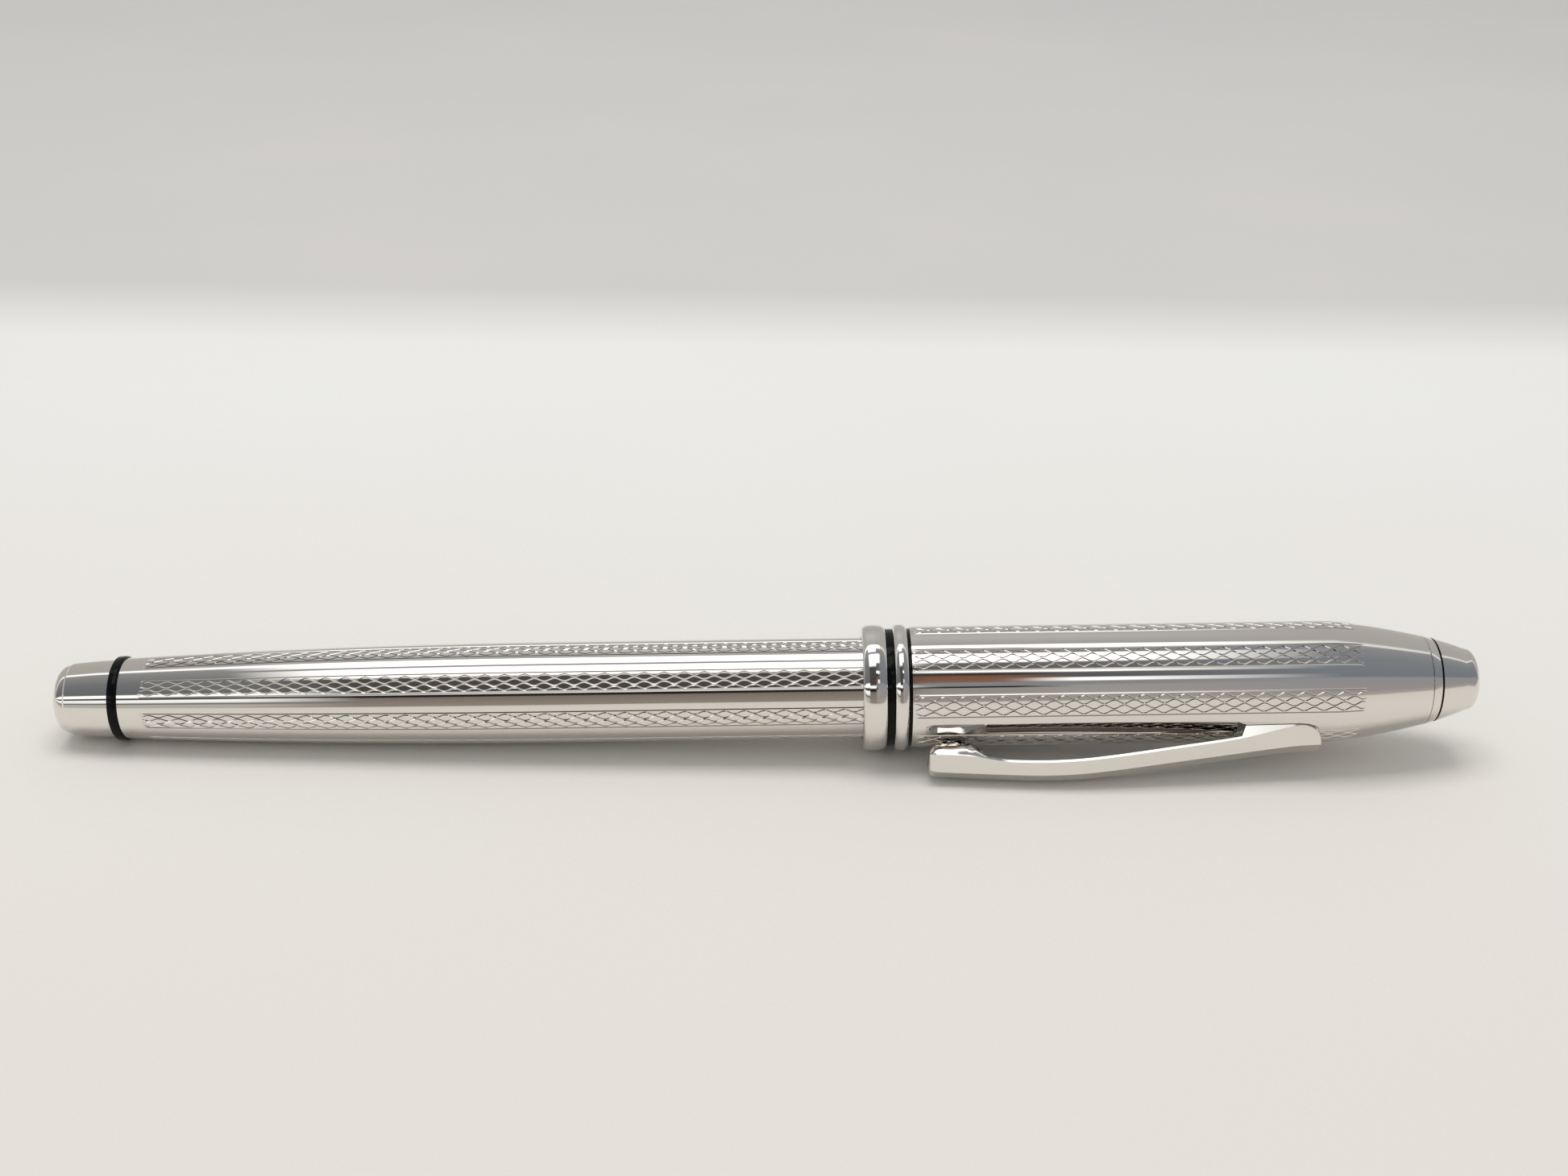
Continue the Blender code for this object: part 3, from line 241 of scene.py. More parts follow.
def principled(name, color, roughness, metallic=0.0, **sockets):
    material = bpy.data.materials.new(name)
    material.use_nodes = True
    shader = material.node_tree.nodes["Principled BSDF"]
    shader.inputs["Base Color"].default_value = (*color, 1.0)
    shader.inputs["Roughness"].default_value = roughness
    shader.inputs["Metallic"].default_value = metallic
    for socket, value in sockets.items():
        shader.inputs[socket.replace("_", " ")].default_value = value
    return material


def add_node(material, kind, **inputs):
    node = material.node_tree.nodes.new(kind)
    for socket, value in inputs.items():
        node.inputs[socket.replace("_", " ")].default_value = value
    return node


def join(material, source, target):
    material.node_tree.links.new(source, target)


def roughness_marks(material, low, high, scale, stretch=(1.0, 1.0, 1.0)):
    """Lets the roughness wander between two values, as on a handled surface."""
    place = add_node(material, "ShaderNodeTexCoord")
    mapping = add_node(material, "ShaderNodeMapping", Scale=stretch)
    noise = add_node(material, "ShaderNodeTexNoise", Scale=scale, Detail=3.0)
    spread = add_node(material, "ShaderNodeMapRange", From_Min=0.35, From_Max=0.7,
                      To_Min=low, To_Max=high)
    shader = material.node_tree.nodes["Principled BSDF"]
    join(material, place.outputs["Object"], mapping.inputs["Vector"])
    join(material, mapping.outputs["Vector"], noise.inputs["Vector"])
    join(material, noise.outputs["Fac"], spread.inputs["Value"])
    join(material, spread.outputs["Result"], shader.inputs["Roughness"])
    return material


def polished_plate(name):
    finishes = bpy.context.scene.pen_finishes
    rough = finishes.plate_roughness
    plate = principled(name, finishes.plate, rough, 1.0)
    return roughness_marks(plate, rough * 0.7, rough * 1.5, 900.0, (0.25, 1.0, 1.0))


def engraved_plate(name):
    """Polished plating whose engraved lines are painted darker towards their bottoms, as painted
    shade in the grooves.
    """
    finishes = bpy.context.scene.pen_finishes
    plate = polished_plate(name)
    # Painted shade: the plating is mixed towards the darker groove colour by how deep the engraving
    # cuts in at each point.
    depth = add_node(plate, "ShaderNodeAttribute")
    depth.attribute_name = "engraved"
    groove_shade = plate.node_tree.nodes.new("ShaderNodeMix")
    groove_shade.data_type = "RGBA"
    colors = [socket for socket in groove_shade.inputs if socket.type == "RGBA"]
    colors[0].default_value = (*finishes.plate, 1.0)
    colors[1].default_value = (*finishes.groove, 1.0)
    result = [socket for socket in groove_shade.outputs if socket.type == "RGBA"][0]
    join(plate, depth.outputs["Fac"], groove_shade.inputs[0])
    join(plate, result, plate.node_tree.nodes["Principled BSDF"].inputs["Base Color"])
    return plate


def black_lacquer():
    color = bpy.context.scene.pen_finishes.lacquer
    return principled("Black lacquer", color, 0.12, Specular_IOR_Level=0.12)


def turned_brass():
    color = bpy.context.scene.pen_finishes.brass
    return roughness_marks(principled("Turned brass", color, 0.25, 1.0), 0.2, 0.36, 1500.0,
                           (3.0, 0.4, 0.4))


def drawn_steel():
    color = bpy.context.scene.pen_finishes.steel
    return roughness_marks(principled("Drawn steel", color, 0.24, 1.0), 0.18, 0.32, 1200.0)


def grip_plastic():
    color = bpy.context.scene.pen_finishes.grip
    return roughness_marks(principled("Grip plastic", color, 0.25), 0.2, 0.32, 700.0)


MATERIAL_MAKERS = {
    "bright_plate": lambda: polished_plate("Bright plate"),
    "engraved_plate": lambda: engraved_plate("Engraved plate"),
    "black_lacquer": black_lacquer,
    "brass_core": turned_brass,
    "steel": drawn_steel,
    "black_plastic": grip_plastic,
    "liner_plastic": lambda: principled("Liner plastic", (0.05, 0.05, 0.055), 0.45),
    "seal_rubber": lambda: principled("Seal rubber", (0.018, 0.018, 0.018), 0.6),
    "refill_plastic": lambda: principled(
        "Refill plastic", bpy.context.scene.pen_finishes.refill, 0.32),
    "plug_plastic": lambda: principled(
        "Plug plastic", bpy.context.scene.pen_finishes.plug, 0.4),
}
made_materials = {}


def finish(name):
    """The material of that name, made once."""
    if name not in made_materials:
        made_materials[name] = MATERIAL_MAKERS[name]()
    return made_materials[name]


# ---------------------------------------------------------------- engraving


# Places across one eighth of the tube, as shares of it from the middle of its band.
BORDER_AT = 0.247                    # the straight line at each side of the band
WAVES_AT = (-0.165, -0.055, 0.055, 0.165)
STRIP_AT = (0.33, 0.41)              # rows of the plain strip beside the band
WIDTH_TRUE_AT = 0.02                 # from an engraving's start, where its width is exact
FADE = 0.6 * MM                      # length over which an engraving's ends fade out


def groove_rows(radius, wave):
    """Rows of vertices round one eighth of the tube, from one plain strip's middle to the next.

    Each row is (angle from the band's middle, wave height as an angle, share of the depth).
    A groove is three rows: its two shoulders and its bottom. A waved groove's shoulders and
    bottom swing together, and neighbouring waves swing opposite ways.
    """
    sizes = bpy.context.scene.pen_sizes
    half = sizes.groove_width / 2.0 / radius
    border = BAND_STEP * BORDER_AT
    near, far = (BAND_STEP * share for share in STRIP_AT)
    rows = [(-BAND_STEP / 2.0, 0.0, 0.0), (-far, 0.0, 0.0), (-near, 0.0, 0.0)]
    grooves = [(-border, 0.0)]
    grooves += [(share * BAND_STEP, wave / radius * (-1.0) ** i)
                for i, share in enumerate(WAVES_AT)]
    grooves += [(border, 0.0)]
    for middle, swing in grooves:
        for side, share in ((-1.0, 0.0), (0.0, 1.0), (1.0, 0.0)):
            rows.append((middle + side * half, swing, share))
    rows += [(near, 0.0, 0.0), (far, 0.0, 0.0)]
    return rows


def engraved_tube(name, stations, radius_at, engraved_from, engraved_to, first_band, wave,
                  material, line_inside):
    """A tube with eight engraved bands, closed by an inner wall.

    stations are the places of its rings of vertices along X, radius_at gives its outer
    radius there, first_band is the angle of one band's middle from -Y towards +Z, and
    line_inside turns the open outer tube into a closed wall.
    """
    sizes = bpy.context.scene.pen_sizes
    rows = groove_rows(radius_at(engraved_from + WIDTH_TRUE_AT), wave)
    count = len(rows) * BANDS_ROUND
    bm = bmesh.new()
    bmesh.ops.create_grid(bm, x_segments=len(stations) - 1, y_segments=count, size=0.5)
    engraved = bm.verts.layers.float.new("engraved")
    for vert in bm.verts:
        station = round((vert.co.x + 0.5) * (len(stations) - 1))
        row = round((vert.co.y + 0.5) * count)
        band, place = divmod(row, len(rows))
        offset, swing, share = rows[place]
        x = stations[station]
        strength = min((x - engraved_from) / FADE, (engraved_to - x) / FADE, 1.0)
        strength = max(strength, 0.0)
        phase = math.cos(FULL_TURN * (x - engraved_from) / sizes.wave_length)
        turn = first_band + band * BAND_STEP + offset + swing * phase * strength
        depth = sizes.groove_depth * share * strength
        radius = radius_at(x) - depth
        vert[engraved] = share * strength
        vert.co = (x, -radius * math.cos(turn), radius * math.sin(turn))
    bmesh.ops.remove_doubles(bm, verts=bm.verts, dist=MERGE)
    line_inside(bm)
    bmesh.ops.recalc_face_normals(bm, faces=bm.faces)
    tube = new_object(name, bm, material, sharp_angle=24.0)
    keep_round(tube, radius_at)
    return tube


def keep_round(tube, radius_at):
    """Gives the plain faces between the grooves the turned surface's own normals."""
    mesh = tube.data
    depth = mesh.attributes["engraved"].data
    normals = [corner.vector.copy() for corner in mesh.corner_normals]
    reach, facing_out, steepest = 0.02 * MM, 0.7, 0.5
    for face in mesh.polygons:
        middle = face.center
        radial = Vector((0.0, middle.y, middle.z)).normalized()
        slope = (radius_at(middle.x + reach) - radius_at(middle.x - reach)) / (2.0 * reach)
        cut_in = any(depth[v].value > 0.0 for v in face.vertices)
        if cut_in or face.normal.dot(radial) < facing_out or abs(slope) > steepest:
            continue
        for loop, v in zip(face.loop_indices, face.vertices):
            place = mesh.vertices[v].co
            outward = Vector((0.0, place.y, place.z)).normalized()
            normals[loop] = outward - Vector((slope, 0.0, 0.0))
            normals[loop].normalize()
    mesh.normals_split_custom_set(normals)


def edge_loop_at(bm, x):
    """The open edges at that place along the pen."""
    near = 1e-6
    return [edge for edge in bm.edges
            if edge.is_boundary and all(abs(vert.co.x - x) < near for vert in edge.verts)]


def extrude_loop(bm, edges, x, radius):
    """Extrudes an open ring of edges to a new place and radius, and gives its new edges."""
    made = bmesh.ops.extrude_edge_only(bm, edges=edges)["geom"]
    verts = [part for part in made if isinstance(part, bmesh.types.BMVert)]
    for vert in verts:
        size = math.hypot(vert.co.y, vert.co.z)
        vert.co = (x, vert.co.y / size * radius, vert.co.z / size * radius)
    return [part for part in made if isinstance(part, bmesh.types.BMEdge)]


def spread(start, end, count):
    """Values from start to end in that many equal steps."""
    return [start + (end - start) * i / count for i in range(count + 1)]


def wave_stations(start, end, samples):
    """Places along an engraved length, that many to each wave."""
    step = bpy.context.scene.pen_sizes.wave_length / samples
    count = max(1, round((end - start) / step))
    return spread(start, end, count)


class PEN_OT_engraved_barrel(bpy.types.Operator):
    """Barrel tube with its convex taper, slim neck and eight engraved bands"""
    bl_idname = "pen.engraved_barrel"
    bl_label = "Engraved barrel"

    def execute(self, context):
        sizes = context.scene.pen_sizes
        rear, front = low_x("barrel_shell"), high_x("barrel_shell")
        radius = outer_radius("barrel_shell")
        tail_radius, taper, power = 4.25 * MM, 46.0 * MM, 2.1
        neck_radius, neck, wall = radius - 0.17 * MM, 5.5 * MM, 0.5 * MM
        neck_start = front - neck

        def radius_at(x):
            if x > neck_start - 0.01 * MM:
                return neck_radius if x < front - 0.05 * MM else neck_radius - 0.1 * MM
            share = max(0.0, 1.0 - (x - rear) / taper)
            return radius - (radius - tail_radius) * share ** power

        start, end = rear + 2.2 * MM, neck_start - 0.9 * MM
        stations = spread(rear, start - 0.2 * MM, 5) + wave_stations(start, end, 12)
        stations += [neck_start - 0.2 * MM, neck_start, front - 0.15 * MM, front]

        def line_inside(bm):
            ring = extrude_loop(bm, edge_loop_at(bm, rear), rear, STUD_HOLE)
            ring = extrude_loop(bm, ring, rear + END_WALL, STUD_HOLE)
            back = extrude_loop(bm, ring, rear + END_WALL, tail_radius - wall)
            ring = extrude_loop(bm, edge_loop_at(bm, front), front, radius - wall)
            ahead = extrude_loop(bm, ring, rear + taper, radius - wall)
            bmesh.ops.bridge_loops(bm, edges=back + ahead)

        barrel = engraved_tube(
            "engraved_barrel", stations, radius_at, start, end, math.radians(40.5),
            sizes.barrel_wave, finish("engraved_plate"), line_inside)
        fit(barrel, "barrel", "barrel_shell")
        return {"FINISHED"}


class PEN_OT_engraved_cap(bpy.types.Operator):
    """Cap tube with its tapering end and eight engraved bands"""
    bl_idname = "pen.engraved_cap"
    bl_label = "Engraved cap"

    def execute(self, context):
        sizes = context.scene.pen_sizes
        rear, front = low_x("cap_shell"), high_x("cap_shell")
        radius = outer_radius("cap_shell")
        end_radius, taper, power = radius - 1.64 * MM, 10.2 * MM, 1.45
        wall = 0.45 * MM
        straight_end = front - taper

        def radius_at(x):
            share = max(0.0, (x - straight_end) / taper)
            return radius - (radius - end_radius) * min(1.0, share) ** power

        start, end = rear + 0.05 * MM, straight_end + 3.0 * MM
        stations = [rear] + wave_stations(start, end, 14)
        stations += spread(end + 0.3 * MM, front, 20)

        def line_inside(bm):
            ring = extrude_loop(bm, edge_loop_at(bm, front), front, STUD_HOLE)
            ring = extrude_loop(bm, ring, front - END_WALL, STUD_HOLE)
            inner = front - END_WALL
            ahead = extrude_loop(bm, ring, inner, radius_at(inner) - wall)
            ring = extrude_loop(bm, edge_loop_at(bm, rear), rear, radius - wall)
            back = extrude_loop(bm, ring, straight_end, radius - wall)
            bmesh.ops.bridge_loops(bm, edges=back + ahead)

        cap = engraved_tube(
            "engraved_cap", stations, radius_at, start, end, math.radians(55.0),
            sizes.cap_wave, finish("engraved_plate"), line_inside)
        fit(cap, "cap", "cap_shell")
        return {"FINISHED"}


# ---------------------------------------------------------------- rings and end pieces


RING_EDGE_RADIUS = 6.2 * MM
RING_BORE = 5.93 * MM
SLEEVE_BORE = 5.47 * MM
MOUTH_LIP_RADIUS = 5.41 * MM         # turned-in rear edge of the lip ring
MOUTH_LIP = 0.3 * MM
BAND_MEETS = 0.045 * MM              # black bands reach their neighbours


def crowned_ring(name, node, body, lip=False):
    """A ring with a convex, mirror-bright outer side, and a turned-in lip at its rear."""
    x0, x1 = low_x(node), high_x(node)
    crown = outer_radius(node)
    edge, bore = RING_EDGE_RADIUS, RING_BORE
    middle, half = (x0 + x1) / 2.0, (x1 - x0) / 2.0
    segments, flatness, fullness = 24, 0.9, 0.85
    profile = []
    for i in range(segments + 1):
        turn = math.pi * i / segments
        across, up = math.cos(turn), math.sin(turn)
        profile.append((middle + half * math.copysign(abs(across) ** flatness, across),
                        edge + (crown - edge) * up ** fullness))
    if lip:
        profile += [(x0, MOUTH_LIP_RADIUS), (x0 + MOUTH_LIP, MOUTH_LIP_RADIUS),
                    (x0 + MOUTH_LIP, bore)]
    else:
        profile += [(x0, bore)]
    profile += [(x1, bore)]
    turned_piece(name, profile, "bright_plate", body, node)


class PEN_OT_cap_rings(bpy.types.Operator):
    """Two convex rings at the cap's mouth, the black band between them and the black gasket"""
    bl_idname = "pen.cap_rings"
    bl_label = "Cap rings"

    def execute(self, context):
        crowned_ring("lip_ring", "cap_lip_ring", "cap", lip=True)
        crowned_ring("upper_ring", "cap_upper_ring", "cap")
        for name, node, edge in (("ring_band", "cap_band", 0.05),
                                 ("cap_joint", "cap_gasket", 0.03)):
            profile = tube_profile(low_x(node) - BAND_MEETS, high_x(node) + BAND_MEETS,
                                   outer_radius(node), RING_BORE, edge * MM)
            turned_piece(name, profile, "black_lacquer", "cap", node)
        start = low_x("cap_lip_ring") + MOUTH_LIP + BAND_MEETS
        profile = tube_profile(start, high_x("cap_mouth_sleeve"), outer_radius("cap_mouth_sleeve"),
                               SLEEVE_BORE, 0.1 * MM)
        turned_piece("mouth_sleeve", profile, "brass_core", "cap", "cap_mouth_sleeve")
        return {"FINISHED"}


class PEN_OT_tail_end(bpy.types.Operator):
    """Tail cap with its rounded edge, and the proud black ring in front of it"""
    bl_idname = "pen.tail_end"
    bl_label = "Tail end"

    def execute(self, context):
        x1 = high_x("tail_cap")
        root, edge_radius, edge = outer_radius("tail_cap"), 3.62 * MM, 1.3 * MM
        hole_end, bulge = x1 - STUD_DEPTH, 1.6
        side = [(x1, root)]
        side += [(x1 * (1.0 - t), root - (root - edge_radius) * t ** bulge)
                 for t in (0.2, 0.4, 0.6, 0.75)]
        profile = [(hole_end, 0.0), (hole_end, STUD_HOLE), (x1, STUD_HOLE)] + side
        profile += arc(edge, edge_radius - edge, edge, 90.0, 180.0, 14) + [(0.0, 0.0)]
        turned_piece("tail_end_cap", profile, "bright_plate", "barrel", "tail_cap", closed=False)
        profile = tube_profile(low_x("tail_ring") - BAND_MEETS, high_x("tail_ring") + BAND_MEETS,
                               outer_radius("tail_ring"), STUD_HOLE, 0.24 * MM)
        turned_piece("tail_black_ring", profile, "black_lacquer", "barrel", "tail_ring")
        return {"FINISHED"}


class PEN_OT_finial(bpy.types.Operator):
    """Collar, thin black washer and rounded finial at the cap's end"""
    bl_idname = "pen.finial"
    bl_label = "Finial"

    def execute(self, context):
        x0, x1 = low_x("finial_collar"), high_x("finial_collar")
        rear, ahead = outer_radius("finial_collar"), 4.5 * MM
        groove, step, soft = 0.07 * MM, 0.09 * MM, 0.02 * MM
        profile = [(x1, ahead - soft), (x1 - 0.03 * MM, ahead), (x0 + groove, rear - soft),
                   (x0 + groove / 2.0, rear - step), (x0, rear - step), (x0, STUD_HOLE),
                   (x1, STUD_HOLE)]
        turned_piece("collar", profile, "bright_plate", "cap", "finial_collar")
        profile = tube_profile(low_x("finial_washer"), high_x("finial_washer"),
                               outer_radius("finial_washer"), STUD_HOLE, soft)
        turned_piece("black_washer", profile, "black_lacquer", "cap", "finial_washer")
        x0, x1 = low_x("finial"), high_x("finial")
        root, end_radius, edge = outer_radius("finial"), 3.3 * MM, 1.0 * MM
        hole_end = x0 + STUD_DEPTH
        profile = [(x1, 0.0)] + arc(x1 - edge, end_radius - edge, edge, 0.0, 86.0, 14)
        profile += tapering(x1 - edge, x0, end_radius, root, 0.85, 6)
        profile += [(x0, STUD_HOLE), (hole_end, STUD_HOLE), (hole_end, 0.0)]
        turned_piece("rounded_finial", profile, "bright_plate", "cap", "finial", closed=False)
        return {"FINISHED"}


# ---------------------------------------------------------------- clip


def clip_point(x, out, side):
    """A point at that place along the pen, distance from its axis and distance sideways."""
    return Vector((x, 0.0, 0.0)) + CLIP_OUT * out + CLIP_SIDE * side


def lofted(bm, stations):
    """Carries the first station's section through all the others and closes both ends."""
    x, section = stations[0]
    ring = [bm.verts.new(clip_point(x, out, side)) for out, side in section]
    face = bm.faces.new(ring)
    bmesh.ops.duplicate(bm, geom=[face])
    for x, section in stations[1:]:
        face = bmesh.ops.extrude_discrete_faces(bm, faces=[face])["faces"][0]
        for vert, (out, side) in zip(face.verts, section):
            vert.co = clip_point(x, out, side)
    bmesh.ops.remove_doubles(bm, verts=bm.verts, dist=FINE_MERGE)


# Heights above the clip's pivot, in millimetres, by distance from the root end.
CLIP_OUTER = [(0.0, 1.25), (2.9, 1.4), (13.0, 2.68), (23.6, 4.02), (28.3, 4.25), (33.0, 4.08),
              (40.7, 3.62)]
CLIP_BEVEL = [(0.0, 1.7), (3.0, 1.6), (8.0, 1.05), (12.0, 0.95), (40.7, 0.95)]
CLIP_WIDENS = [(32.5, 1.0), (36.8, 1.4), (40.7, 1.4)]       # bevelled faces at the ball end
CLIP_PAD = [(34.3, 2.6), (34.9, 2.15), (35.8, 1.15), (37.2, 0.3), (38.4, 0.08), (39.2, 0.25),
            (39.8, 0.65), (40.3, 1.15), (40.7, 1.75)]
CLIP_NARROW = [(34.3, 0.85), (36.0, 0.6), (38.4, 0.2), (40.0, 0.5), (40.7, 0.75)]
CLIP_SIDE_HEIGHT = 0.25              # upright side under each bevelled face
CLIP_BLOCK_DRAFT = 0.17              # how much the root block's sides lean, as a slope
CLIP_BLOCK_END = 7.6                 # where the root block's front starts to slant
CLIP_BLOCK_SLANT = 0.8               # length of that slant
CLIP_BLOCK_FOOT = -0.95              # lowest height of the block before its seat is cut
CLIP_SEAT_PAST = 4.0                 # length that the seat's cutter has beyond the block
CLIP_HALF_WIDTH, CLIP_HALF_TAPER = 2.3, 0.7      # at the root, and lost by the ball end
CLIP_RIDGE, CLIP_RIDGE_TAPER = 0.75, 0.15        # half width of the flat face on top
CLIP_UNDERSIDE = 0.85                # width of the arm's underside, as a share of the arm's
CLIP_BELLY = 0.25                    # how far the underside's edges are drawn in
CLIP_THIN = 0.02                     # side under the block's faces
CLIP_PAD_SIDE, CLIP_PAD_THIN = 0.12, 0.01        # side beside the pad, at most and at least
CLIP_BOW = 2.3                       # rounded length at the root
CLIP_BALL = 1.1                      # rounded length at the ball end
CLIP_BOW_STEPS = (0.0, 0.02, 0.07, 0.16, 0.3, 0.48, 0.7, 1.0)
CLIP_BALL_STEPS = (0.3, 0.55, 0.75, 0.9, 1.0)


def through(points, at):
    """Height at that distance of a smooth curve through the points."""
    if at <= points[0][0]:
        return points[0][1]
    if at >= points[-1][0]:
        return points[-1][1]
    slopes = []
    for i in range(len(points)):
        before, after = points[max(0, i - 1)], points[min(len(points) - 1, i + 1)]
        slopes.append((after[1] - before[1]) / (after[0] - before[0]))
    i = max(k for k in range(len(points) - 1) if points[k][0] <= at)
    (x0, y0), (x1, y1) = points[i], points[i + 1]
    t, span = (at - x0) / (x1 - x0), x1 - x0
    return ((2 * t ** 3 - 3 * t ** 2 + 1) * y0 + (t ** 3 - 2 * t ** 2 + t) * span * slopes[i]
            + (3 * t ** 2 - 2 * t ** 3) * y1 + (t ** 3 - t ** 2) * span * slopes[i + 1])


class PEN_OT_clip(bpy.types.Operator):
    """Pocket clip: root block, sloping arm with bevelled sides, and the pad that meets the cap"""
    bl_idname = "pen.clip"
    bl_label = "Clip"

    def execute(self, context):
        low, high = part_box("clip")
        root_x = high.x
        pivot = outer_radius("cap_shell") + 0.05 * MM
        length = (high.x - low.x) / MM
        slant_end = CLIP_BLOCK_END + CLIP_BLOCK_SLANT

        def section(along):
            top = through(CLIP_OUTER, along)
            widens = through(CLIP_WIDENS, along)
            edge = top - through(CLIP_BEVEL, along) * widens
            share = along / length
            half = CLIP_HALF_WIDTH - CLIP_HALF_TAPER * share
            ridge = CLIP_RIDGE - CLIP_RIDGE_TAPER * share
            half = ridge + (half - ridge) * widens
            side_low, narrow = edge - CLIP_SIDE_HEIGHT, CLIP_UNDERSIDE
            bottom = side_low
            if along < slant_end:
                sink = min(1.0, (slant_end - along) / CLIP_BLOCK_SLANT)
                bottom += (CLIP_BLOCK_FOOT - bottom) * sink
                side_low = bottom + CLIP_THIN
                narrow = 1.0 + CLIP_BLOCK_DRAFT * sink * (edge - bottom) / half
            if along > CLIP_PAD[0][0]:
                bottom = min(bottom, through(CLIP_PAD, along))
                narrow = through(CLIP_NARROW, along)
                side_low = max(edge - CLIP_PAD_SIDE, bottom + CLIP_PAD_THIN)
            if along < CLIP_BOW:
                round_off = math.sqrt(1.0 - (1.0 - along / CLIP_BOW) ** 2)
                trimmed = half * (0.42 + 0.58 * round_off)
                edge = top - (top - edge) * (trimmed - ridge) / (half - ridge)
                half = trimmed
            if along > length - CLIP_BALL:
                past = (along - length + CLIP_BALL) / CLIP_BALL
                round_off = math.sqrt(max(0.0, 1.0 - past ** 2))
                half *= 0.72 + 0.28 * round_off
                top -= 0.45 * (1.0 - round_off)
                edge -= 0.3 * (1.0 - round_off)
                ridge = min(ridge, half * 0.5)
            belly = (bottom + side_low) / 2.0
            belly_half = half * (CLIP_BELLY * narrow + (1.0 - CLIP_BELLY))
            outline = [(bottom, -half * narrow), (bottom, half * narrow), (belly, belly_half),
                       (side_low, half), (edge, half), (top, ridge), (top, -ridge), (edge, -half),
                       (side_low, -half), (belly, -belly_half)]
            return [(pivot + out * MM, side * MM) for out, side in outline]

        steps = [CLIP_BOW * t for t in CLIP_BOW_STEPS]
        steps += spread(3.0, CLIP_BLOCK_END, 5) + [slant_end]
        steps += spread(9.5, 34.3, 30) + spread(34.5, length - CLIP_BALL, 18)
        steps += [length - CLIP_BALL * (1.0 - t) for t in CLIP_BALL_STEPS]
        bm = bmesh.new()
        lofted(bm, [(root_x - along * MM, section(along)) for along in steps])
        bmesh.ops.recalc_face_normals(bm, faces=bm.faces)
        arm = new_object("clip_blank", bm, finish("bright_plate"))

        bm = bmesh.new()
        bmesh.ops.create_cone(bm, cap_ends=True, segments=160, radius1=pivot, radius2=pivot,
                              depth=(CLIP_BLOCK_END + CLIP_SEAT_PAST) * MM)
        bmesh.ops.rotate(bm, verts=bm.verts, cent=(0, 0, 0),
                         matrix=Matrix.Rotation(math.pi / 2.0, 3, "Y"))
        bmesh.ops.translate(bm, verts=bm.verts,
                            vec=(root_x - CLIP_BLOCK_END / 2.0 * MM, 0.0, 0.0))
        seat = new_object("clip_seat", bm, finish("bright_plate"))

        bm = combined(arm, seat, "DIFFERENCE", 1e-6)
        clip = new_object("pocket_clip", bm, finish("bright_plate"), sharp_angle=25.0)
        bevel = clip.modifiers.new("Softened edges", "BEVEL")
        bevel.width = 0.1 * MM
        bevel.segments = 2
        bevel.limit_method = "ANGLE"
        bevel.angle_limit = math.radians(24.0)
        bevel.use_clamp_overlap = True
        fit(clip, "clip", "clip")
        return {"FINISHED"}


# ---------------------------------------------------------------- writing section


SMALL_STEPS = 96                     # flats round the slim inner pieces
THREAD_STEPS = 48                    # steps in each turn of the thread


